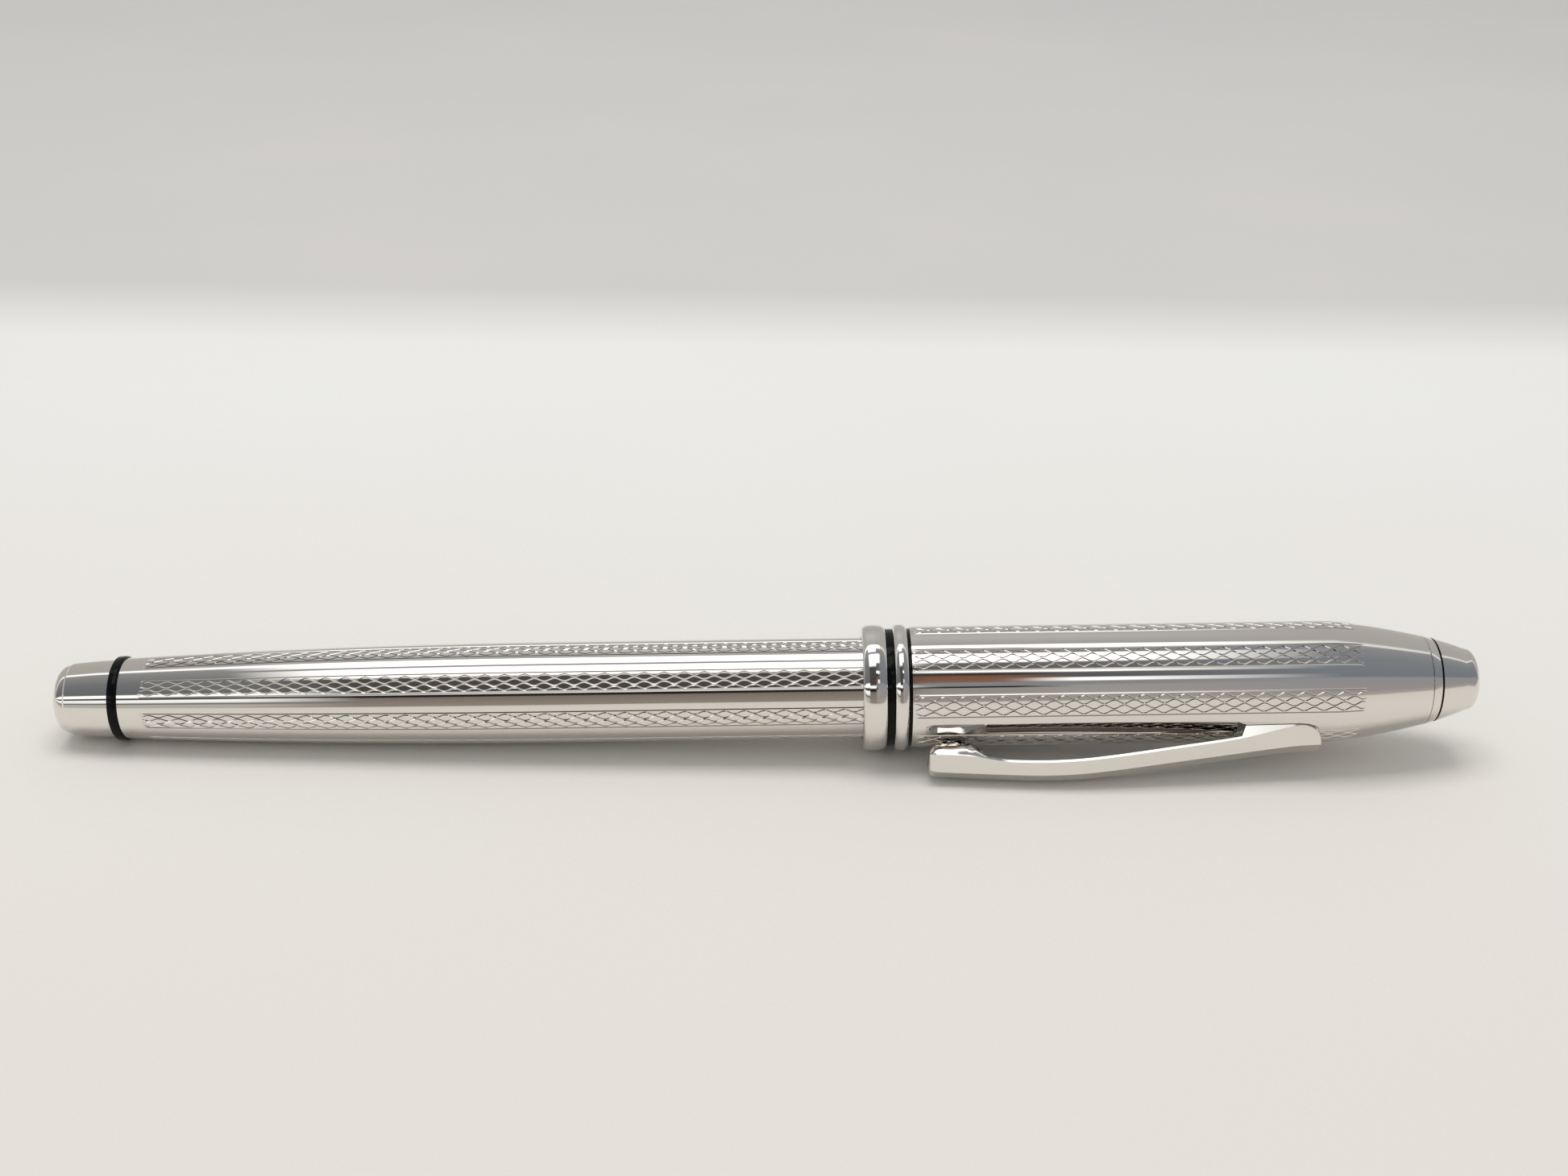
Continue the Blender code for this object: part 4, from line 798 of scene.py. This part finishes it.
class PEN_OT_writing_section(bpy.types.Operator):
    """Trim ring, seal, threaded coupling, grip, snap ring and nose cone"""
    bl_idname = "pen.writing_section"
    bl_label = "Writing section"

    def execute(self, context):
        profile = tube_profile(low_x("trim_ring"), high_x("trim_ring"), outer_radius("trim_ring"),
                               4.3 * MM, 0.2 * MM)
        turned_piece("trim", profile, "bright_plate", "trim", "trim_ring")
        low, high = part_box("o_ring")
        wire = (high.x - low.x) / 2.0
        middle = (low.x + high.x) / 2.0
        ring = arc(middle, outer_radius("o_ring") - wire, wire, 0.0, 345.0, 23)
        turned_piece("seal_ring", ring, "seal_rubber", "seal", "o_ring", SMALL_STEPS)
        self.build_grip()
        self.build_nose()
        self.build_coupling(context.scene.pen_sizes)
        cleaned_piece("snap", "snap_ring", "steel")
        return {"FINISHED"}

    def build_grip(self):
        """Plastic grip: a shoulder grooved for the seal, then a slim waist that holds the nose."""
        x0, x1 = low_x("grip_section"), high_x("grip_section")
        shoulder, rear, ahead = outer_radius("grip_section"), 4.85 * MM, 3.98 * MM
        groove_start, groove_end, bead_end = x0 + 2.7 * MM, x0 + 4.1 * MM, x0 + 5.3 * MM
        edge, soften, groove_depth = 0.25 * MM, 0.6 * MM, 0.6 * MM
        rear_bore, rear_bore_end = 4.2 * MM, x0 + 4.9 * MM
        nose_bore, nose_bore_start = 3.65 * MM, x1 - 2.6 * MM
        profile = arc(x1 - edge, ahead - edge, edge, 0.0, 90.0, 4)
        count = 18
        for i in range(1, count):
            t = i / count
            x = x1 - edge - (x1 - edge - bead_end - soften) * t
            profile.append((x, ahead + (rear - ahead) * t ** 1.15))
        profile += [(bead_end + soften, rear)]
        profile += arc(bead_end - edge, shoulder - edge, edge, 60.0, 90.0, 3)
        profile += [(groove_end, shoulder), (groove_end, shoulder - groove_depth),
                    (groove_start, shoulder - groove_depth), (groove_start, shoulder)]
        profile += arc(x0 + edge, shoulder - edge, edge, 90.0, 180.0, 4)
        profile += [(x0, rear_bore), (rear_bore_end, rear_bore), (rear_bore_end, SECTION_BORE),
                    (nose_bore_start, SECTION_BORE), (nose_bore_start, nose_bore),
                    (x1, nose_bore)]
        turned_piece("grip", profile, "black_plastic", "section", "grip_section")

    def build_nose(self):
        """Metal cone with a neck that fits the grip, bored in steps for the refill's tip."""
        x0, x1 = low_x("nose_cone"), high_x("nose_cone")
        seat = x0 + 2.5 * MM
        root, tip = outer_radius("nose_cone"), 1.75 * MM
        edge, neck = 0.25 * MM, 3.6 * MM
        tip_bore, shoulder_bore = 1.3 * MM, 2.75 * MM
        profile = [(x1, tip_bore)] + arc(x1 - edge, tip - edge, edge, 0.0, 80.0, 5)
        profile += tapering(x1 - edge, seat, tip, root, 0.86, 12)
        profile += [(seat, neck), (x0, neck), (x0, SECTION_BORE), (seat, SECTION_BORE),
                    (seat + 0.3 * MM, shoulder_bore), (seat + 3.35 * MM, shoulder_bore),
                    (seat + 6.9 * MM, tip_bore)]
        turned_piece("nose", profile, "bright_plate", "section", "nose_cone")

    def build_coupling(self, sizes):
        """Brass tube with a helical ridge round its rear part."""
        x0, x1 = low_x("section_coupling"), high_x("section_coupling")
        crest = outer_radius("section_coupling")
        root = crest - sizes.thread_depth
        thread_start, thread_end = x0 + 0.9 * MM, x0 + 7.6 * MM
        chamfer = 0.25 * MM
        profile = [(x1, crest), (thread_end + 0.5 * MM, crest), (thread_end, root),
                   (x0 + chamfer, root), (x0, root - chamfer), (x0, SECTION_BORE),
                   (x1, SECTION_BORE)]
        bm = turned_mesh(profile, SMALL_STEPS)
        turns = int((thread_end - thread_start) / sizes.thread_pitch) - 1
        half = sizes.thread_pitch * 0.42
        sunk = root - 0.04 * MM
        ridge = bmesh.new()
        section = [(thread_start - half, sunk), (thread_start - half * 0.3, crest),
                   (thread_start + half * 0.3, crest), (thread_start + half, sunk)]
        verts = [ridge.verts.new((x, 0.0, radius)) for x, radius in section]
        face = ridge.faces.new(verts)
        bmesh.ops.spin(ridge, geom=[face], cent=(0.0, 0.0, 0.0), axis=(1.0, 0.0, 0.0),
                       dvec=(sizes.thread_pitch / THREAD_STEPS, 0.0, 0.0),
                       angle=FULL_TURN * turns, steps=THREAD_STEPS * turns, use_merge=False)
        bmesh.ops.remove_doubles(ridge, verts=ridge.verts, dist=FINE_MERGE)
        bmesh.ops.recalc_face_normals(ridge, faces=ridge.faces)
        tube = new_object("coupling_tube", bm, finish("brass_core"))
        thread = new_object("thread_ridge", ridge, finish("brass_core"))
        coupling = new_object("threaded_coupling", combined(tube, thread, "UNION", FINE_MERGE),
                              finish("brass_core"))
        fit(coupling, "section", "section_coupling")


# ---------------------------------------------------------------- refill and inner pieces


class PEN_OT_refill(bpy.types.Operator):
    """Refill tube, rear plug, tapered tip, writing ball and the spring behind it"""
    bl_idname = "pen.refill"
    bl_label = "Refill and spring"

    def execute(self, context):
        profile = tube_profile(low_x("refill_tube"), high_x("refill_tube"),
                               outer_radius("refill_tube"), 2.5 * MM, 0.06 * MM)
        turned_piece("ink_tube", profile, "refill_plastic", "refill", "refill_tube", SMALL_STEPS)
        x0, x1 = low_x("refill_plug"), high_x("refill_plug")
        flange, stem = x0 + 1.25 * MM, 2.45 * MM
        radius, edge = outer_radius("refill_plug"), 0.3 * MM
        profile = [(x1, 0.0), (x1, stem), (flange, stem), (flange, radius)]
        profile += arc(x0 + edge, radius - edge, edge, 90.0, 180.0, 5) + [(x0, 0.0)]
        turned_piece("rear_plug", profile, "plug_plastic", "refill", "refill_plug", SMALL_STEPS,
                     closed=False)
        for node in ("refill_tip", "tip_ball"):
            cleaned_piece("refill", node, "steel")
        self.build_spring()
        return {"FINISHED"}

    def build_spring(self):
        """A wire coil, spun with a rise at each step."""
        low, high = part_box("refill_spring")
        wire, coil, turns, per_turn = 0.25 * MM, 2.5 * MM, 6, 32
        start, end = low.x + wire, high.x - wire
        bm = bmesh.new()
        slimmer = 0.98
        bmesh.ops.create_circle(bm, cap_ends=True, segments=12, radius=wire * slimmer)
        bmesh.ops.rotate(bm, verts=bm.verts, cent=(0, 0, 0),
                         matrix=Matrix.Rotation(math.pi / 2.0, 3, "X"))
        bmesh.ops.translate(bm, verts=bm.verts, vec=(start, 0.0, coil))
        steps = turns * per_turn
        bmesh.ops.spin(bm, geom=bm.faces[:], cent=(0.0, 0.0, 0.0), axis=(1.0, 0.0, 0.0),
                       dvec=((end - start) / steps, 0.0, 0.0), angle=FULL_TURN * turns, steps=steps,
                       use_merge=False)
        bmesh.ops.remove_doubles(bm, verts=bm.verts, dist=FINE_MERGE)
        bmesh.ops.recalc_face_normals(bm, faces=bm.faces)
        spring = new_object("wire_spring", bm, finish("steel"))
        fit(spring, "barrel", "refill_spring")


HIDDEN_PIECES = [
    ("barrel", "barrel_bush", "brass_core"), ("barrel", "tail_stud", "brass_core"),
    ("barrel", "spring_seat", "brass_core"), ("cap", "finial_nut", "brass_core"),
    ("cap", "cap_liner", "liner_plastic"), ("cap", "clip_anchor", "steel"),
    ("cap", "finial_stud", "brass_core"),
]


class PEN_OT_inner_pieces(bpy.types.Operator):
    """Studs, nut, bush, liner and the clip's anchor, which hide inside the pen"""
    bl_idname = "pen.inner_pieces"
    bl_label = "Inner pieces"

    def execute(self, context):
        for body, node, material in HIDDEN_PIECES:
            cleaned_piece(body, node, material)
        return {"FINISHED"}


# ---------------------------------------------------------------- table top, light and camera

# What bright metal mirrors, zone by zone along the pen. Each zone is the stretch of mirrored
# direction over which it takes over from the one before, and its bands of colour, or of
# plain gray, by elevation in degrees, from below the front horizon over the top to the rear one.
BANDS_START, BANDS_SPAN = -90.0, 270.0
OVERHEAD = [
    (76.0, 1.9), (92.0, 1.9), (94.0, (0.24, 0.245, 0.26)), (104.0, (0.36, 0.36, 0.37)),
    (106.0, 2.2), (112.0, 2.2), (114.0, (0.42, 0.42, 0.43)), (135.0, (0.55, 0.545, 0.54)),
    (160.0, (0.46, 0.455, 0.45)), (180.0, (0.52, 0.51, 0.50)),
]
TAIL_BANDS = [
    (-90.0, (0.45, 0.44, 0.42)), (-3.0, (0.50, 0.48, 0.45)), (0.0, (0.50, 0.48, 0.45)),
    (8.0, (0.55, 0.54, 0.52)), (12.0, (0.07, 0.075, 0.085)), (15.0, 0.95), (21.0, 1.3),
    (24.0, (0.05, 0.055, 0.065)), (27.0, (0.05, 0.055, 0.065)), (30.0, 1.6), (35.0, 1.6),
    (38.0, (0.16, 0.17, 0.185)), (70.0, (0.20, 0.21, 0.22)), (98.0, (0.30, 0.31, 0.32)),
    (104.0, (0.34, 0.345, 0.35)), (107.0, 1.4), (110.0, 1.4), (114.0, (0.46, 0.44, 0.42)),
    (160.0, (0.50, 0.475, 0.45)), (180.0, (0.52, 0.51, 0.50)),
]
BARREL_BANDS = [
    (-90.0, (0.45, 0.44, 0.42)), (-3.0, (0.42, 0.41, 0.40)), (0.0, (0.32, 0.285, 0.25)),
    (20.0, (0.23, 0.195, 0.17)), (22.0, (0.015, 0.013, 0.013)), (26.0, (0.015, 0.013, 0.013)),
    (28.0, 1.3), (31.0, 1.3), (33.0, (0.07, 0.068, 0.067)), (66.0, (0.085, 0.083, 0.082)),
    (71.0, 1.9), (91.0, 1.9), (93.0, (0.30, 0.30, 0.31)), (96.0, (0.30, 0.30, 0.31)), (98.0, 2.0),
    (112.0, 2.0), (114.0, 0.45), (135.0, (0.60, 0.595, 0.59)), (160.0, (0.46, 0.455, 0.45)),
    (180.0, (0.52, 0.51, 0.50)),
]
CAP_REAR_BANDS = [
    (-90.0, (0.45, 0.44, 0.42)), (-3.0, (0.42, 0.41, 0.39)), (0.0, (0.36, 0.335, 0.31)),
    (25.0, (0.36, 0.335, 0.305)), (26.0, (0.02, 0.02, 0.022)), (28.0, (0.02, 0.02, 0.022)),
    (29.0, (0.27, 0.28, 0.305)), (35.0, (0.27, 0.28, 0.305)), (37.0, (0.26, 0.14, 0.09)),
    (48.0, (0.22, 0.105, 0.065)), (50.0, (0.03, 0.028, 0.03)), (54.0, (0.06, 0.06, 0.065)),
    (55.0, 1.5), (58.0, 1.5), (60.0, (0.13, 0.132, 0.138)), (73.0, (0.15, 0.155, 0.165)),
] + OVERHEAD
CAP_FRONT_BANDS = [
    (-90.0, (0.45, 0.44, 0.42)), (-3.0, (0.42, 0.41, 0.39)), (0.0, (0.37, 0.35, 0.33)),
    (14.0, (0.40, 0.39, 0.375)), (28.0, (0.38, 0.375, 0.375)), (31.0, (0.28, 0.29, 0.31)),
    (36.0, (0.28, 0.29, 0.31)), (37.5, 1.5), (42.0, 1.5), (44.0, (0.10, 0.10, 0.108)),
    (53.0, (0.14, 0.145, 0.155)), (54.5, 1.5), (58.0, 1.5), (60.0, (0.13, 0.135, 0.145)),
    (73.0, (0.17, 0.175, 0.19)),
] + OVERHEAD
FINIAL_BANDS = [
    (-90.0, (0.45, 0.44, 0.42)), (-3.0, (0.50, 0.47, 0.43)), (0.0, (0.45, 0.42, 0.40)),
    (8.0, (0.36, 0.34, 0.345)), (34.0, (0.33, 0.33, 0.36)), (38.0, (0.21, 0.23, 0.265)),
    (75.0, (0.24, 0.26, 0.29)), (98.0, (0.30, 0.31, 0.33)), (104.0, (0.34, 0.35, 0.36)),
    (107.0, 0.9), (110.0, 0.9), (114.0, (0.46, 0.45, 0.44)), (160.0, (0.50, 0.475, 0.45)),
    (180.0, (0.52, 0.51, 0.50)),
]
ROOM_ZONES = [
    (-0.33, -0.25, BARREL_BANDS), (0.055, 0.075, CAP_REAR_BANDS), (0.12, 0.15, CAP_FRONT_BANDS),
    (0.16, 0.27, FINIAL_BANDS),
]


def sky_ramp(tree, bands, elevation):
    """A ramp through the bands of colour that the room shows from front to back."""
    ramp = tree.nodes.new("ShaderNodeValToRGB")
    ramp.color_ramp.interpolation = "LINEAR"
    elements = ramp.color_ramp.elements
    while len(elements) < len(bands):
        elements.new(0.5)
    for element, (angle, color) in zip(elements, bands):
        element.position = (angle - BANDS_START) / BANDS_SPAN
        element.color = (*color, 1.0) if isinstance(color, tuple) else (color, color, color, 1.0)
    tree.links.new(elevation, ramp.inputs["Fac"])
    return ramp.outputs["Color"]


def connect(tree, value, socket):
    """Links a node's output to the socket, or sets the socket to a plain value."""
    if isinstance(value, bpy.types.NodeSocket):
        tree.links.new(value, socket)
    else:
        socket.default_value = value


def math_node(tree, operation, first, second):
    node = tree.nodes.new("ShaderNodeMath")
    node.operation = operation
    connect(tree, first, node.inputs[0])
    connect(tree, second, node.inputs[1])
    return node.outputs["Value"]


def mix_colors(tree, factor, first, second):
    node = tree.nodes.new("ShaderNodeMix")
    node.data_type = "RGBA"
    sockets = [socket for socket in node.inputs if socket.type == "RGBA"]
    for socket, value in zip(sockets, (first, second)):
        connect(tree, value, socket)
    tree.links.new(factor, node.inputs[0])
    return [socket for socket in node.outputs if socket.type == "RGBA"][0]


class PEN_OT_stage(bpy.types.Operator):
    """Cloth-covered table top, soft studio light and the camera"""
    bl_idname = "pen.stage"
    bl_label = "Stage"

    def execute(self, context):
        self.build_room(context)
        self.build_cloth(context)
        self.build_lamp(context)
        self.build_camera(context)
        context.scene.view_settings.view_transform = "Standard"
        return {"FINISHED"}

    def build_room(self, context):
        """Light from all round, and the bands of a room that bright metal mirrors."""
        stage = context.scene.pen_stage
        world = bpy.data.worlds.new("Room")
        context.scene.world = world
        world.use_nodes = True
        tree = world.node_tree
        background = tree.nodes["Background"]
        place = tree.nodes.new("ShaderNodeTexCoord")
        split = tree.nodes.new("ShaderNodeSeparateXYZ")
        tree.links.new(place.outputs["Generated"], split.inputs["Vector"])
        along, across, up = split.outputs
        ahead = math_node(tree, "MULTIPLY", across, -1.0)
        angle = math_node(tree, "ARCTAN2", up, ahead)
        height = math_node(tree, "DIVIDE", angle, math.radians(BANDS_SPAN))
        height = math_node(tree, "ADD", height, -BANDS_START / BANDS_SPAN)
        mirrored = sky_ramp(tree, TAIL_BANDS, height)
        for start, full, bands in ROOM_ZONES:
            limits = tree.nodes.new("ShaderNodeMapRange")
            limits.inputs["From Min"].default_value = start
            limits.inputs["From Max"].default_value = full
            tree.links.new(along, limits.inputs["Value"])
            zone = sky_ramp(tree, bands, height)
            mirrored = mix_colors(tree, limits.outputs["Result"], mirrored, zone)
        path = tree.nodes.new("ShaderNodeLightPath")
        even = (stage.room_light, stage.room_light, stage.room_light, 1.0)
        seen = mix_colors(tree, path.outputs["Is Diffuse Ray"], mirrored, even)
        plain = (0.56, 0.55, 0.53, 1.0)
        shown = mix_colors(tree, path.outputs["Is Camera Ray"], seen, plain)
        tree.links.new(shown, background.inputs["Color"])

    def build_cloth(self, context):
        """A wide cloth under the pen, sloping a little because the pen lies on its rings."""
        stage = context.scene.pen_stage
        tail_x = (low_x("tail_ring") + high_x("tail_ring")) / 2.0
        ring_x = (low_x("cap_lip_ring") + high_x("cap_lip_ring")) / 2.0
        tail_drop, ring_drop = outer_radius("tail_ring"), outer_radius("cap_lip_ring") + 0.15 * MM
        slope = math.atan((ring_drop - tail_drop) / (ring_x - tail_x))
        bm = bmesh.new()
        bmesh.ops.create_grid(bm, x_segments=60, y_segments=60, size=3.0)
        cloth = new_object("table_cloth", bm, self.cloth_material(stage))
        cloth.rotation_euler = (0.0, slope, 0.0)
        cloth.location = (ring_x, 0.0, -ring_drop)

    def cloth_material(self, stage):
        material = principled("Table cloth", stage.cloth, 0.9, Specular_IOR_Level=0.15)
        shader = material.node_tree.nodes["Principled BSDF"]
        tree = material.node_tree
        place = add_node(material, "ShaderNodeTexCoord")
        split = add_node(material, "ShaderNodeSeparateXYZ")
        join(material, place.outputs["Object"], split.inputs["Vector"])
        ramp = add_node(material, "ShaderNodeValToRGB")
        # Painted light on the flat cloth, by distance behind the pen: the pale stripe where a fold
        # would be is a painted highlight, and the grayer cloth beyond it is painted shade.
        cream, far = (*stage.cloth, 1.0), (*stage.shaded_far_cloth, 1.0)
        bright = (0.80, 0.80, 0.785, 1.0)
        stops = [(0.0, cream), (0.52, bright), (0.60, bright), (0.70, far), (1.0, far)]
        elements = ramp.color_ramp.elements
        while len(elements) < len(stops):
            elements.new(0.5)
        for element, (position, color) in zip(elements, stops):
            element.position = position
            element.color = color
        reach = add_node(material, "ShaderNodeMapRange", From_Min=-0.05, From_Max=0.25)
        join(material, split.outputs["Y"], reach.inputs["Value"])
        join(material, reach.outputs["Result"], ramp.inputs["Fac"])
        blotches = add_node(material, "ShaderNodeTexNoise", Scale=14.0, Detail=3.0)
        join(material, place.outputs["Object"], blotches.inputs["Vector"])
        tint_range = add_node(material, "ShaderNodeMapRange", From_Min=0.35, From_Max=0.65,
                              To_Min=0.0, To_Max=0.10)
        join(material, blotches.outputs["Fac"], tint_range.inputs["Value"])
        warm = mix_colors(tree, tint_range.outputs["Result"], ramp.outputs["Color"],
                          (0.80, 0.70, 0.64, 1.0))
        join(material, warm, shader.inputs["Base Color"])
        weave = add_node(material, "ShaderNodeTexNoise", Scale=2600.0, Detail=2.0)
        join(material, place.outputs["Object"], weave.inputs["Vector"])
        bump = add_node(material, "ShaderNodeBump", Strength=0.35, Distance=0.0001)
        join(material, weave.outputs["Fac"], bump.inputs["Height"])
        join(material, bump.outputs["Normal"], shader.inputs["Normal"])
        return material

    def build_lamp(self, context):
        """A large soft lamp above and a little behind the pen."""
        stage = context.scene.pen_stage
        data = bpy.data.lights.new("Soft lamp", "AREA")
        data.shape = "RECTANGLE"
        data.size = 0.7
        data.size_y = 0.4
        data.energy = stage.lamp_power
        data.color = (1.0, 0.985, 0.96)
        lamp = bpy.data.objects.new("Soft lamp", data)
        lamp.location = (0.06, 0.1, 0.9)
        aim = Vector((0.075, 0.0, 0.0)) - lamp.location
        lamp.rotation_euler = aim.to_track_quat("-Z", "Y").to_euler()
        lamp.visible_glossy = False
        context.scene.collection.objects.link(lamp)

    def build_camera(self, context):
        """Looks down at the pen from in front, with its tail to the left."""
        beside, away, rise = 75.89 * MM, 206.46 * MM, math.radians(29.0)
        tilt, swing, roll = math.radians(-2.958), math.radians(-0.15), math.radians(-0.82)
        view_rows = Matrix(((1.0, 0.0, 0.0), (0.0, -math.sin(rise), -math.cos(rise)),
                            (0.0, math.cos(rise), -math.sin(rise))))
        turn = (Matrix.Rotation(roll, 3, "Z") @ Matrix.Rotation(tilt, 3, "X")
                @ Matrix.Rotation(swing, 3, "Y"))
        right, down, ahead = turn @ view_rows
        data = bpy.data.cameras.new("Camera")
        data.sensor_width = 36.0
        data.lens = 44.77
        data.clip_start = 0.01
        data.clip_end = 20.0
        camera = bpy.data.objects.new("Camera", data)
        basis = Matrix((right, -down, -ahead)).transposed().to_4x4()
        basis.translation = Vector((beside, -away * math.cos(rise), away * math.sin(rise)))
        camera.matrix_world = basis
        context.scene.collection.objects.link(camera)
        context.scene.camera = camera


# ---------------------------------------------------------------- panel and running


OPERATORS = [
    PEN_OT_stage, PEN_OT_engraved_barrel, PEN_OT_engraved_cap, PEN_OT_cap_rings, PEN_OT_tail_end,
    PEN_OT_finial, PEN_OT_clip, PEN_OT_writing_section, PEN_OT_refill, PEN_OT_inner_pieces,
]


class PEN_PT_panel(bpy.types.Panel):
    """Lists the pen's pieces, sizes and colours"""
    bl_idname = "PEN_PT_panel"
    bl_label = "Rollerball pen"
    bl_space_type = "VIEW_3D"
    bl_region_type = "UI"
    bl_category = "Pen"

    def draw(self, context):
        scene = context.scene
        for settings in (scene.pen_sizes, scene.pen_finishes, scene.pen_stage):
            column = self.layout.column(align=True)
            for name in settings.bl_rna.properties.keys():
                if name not in ("rna_type", "name"):
                    column.prop(settings, name)
        for operator in OPERATORS:
            self.layout.operator(operator.bl_idname)


SETTINGS = [PenSizes, PenFinishes, StageSettings]


def register():
    for item in SETTINGS + OPERATORS + [PEN_PT_panel]:
        bpy.utils.register_class(item)
    bpy.types.Scene.pen_sizes = PointerProperty(type=PenSizes)
    bpy.types.Scene.pen_finishes = PointerProperty(type=PenFinishes)
    bpy.types.Scene.pen_stage = PointerProperty(type=StageSettings)


def unregister():
    del bpy.types.Scene.pen_stage
    del bpy.types.Scene.pen_finishes
    del bpy.types.Scene.pen_sizes
    for item in reversed(SETTINGS + OPERATORS + [PEN_PT_panel]):
        bpy.utils.unregister_class(item)


def main():
    register()
    for operator in OPERATORS:
        group, name = operator.bl_idname.split(".")
        getattr(getattr(bpy.ops, group), name)()


if __name__ == "__main__":
    main()
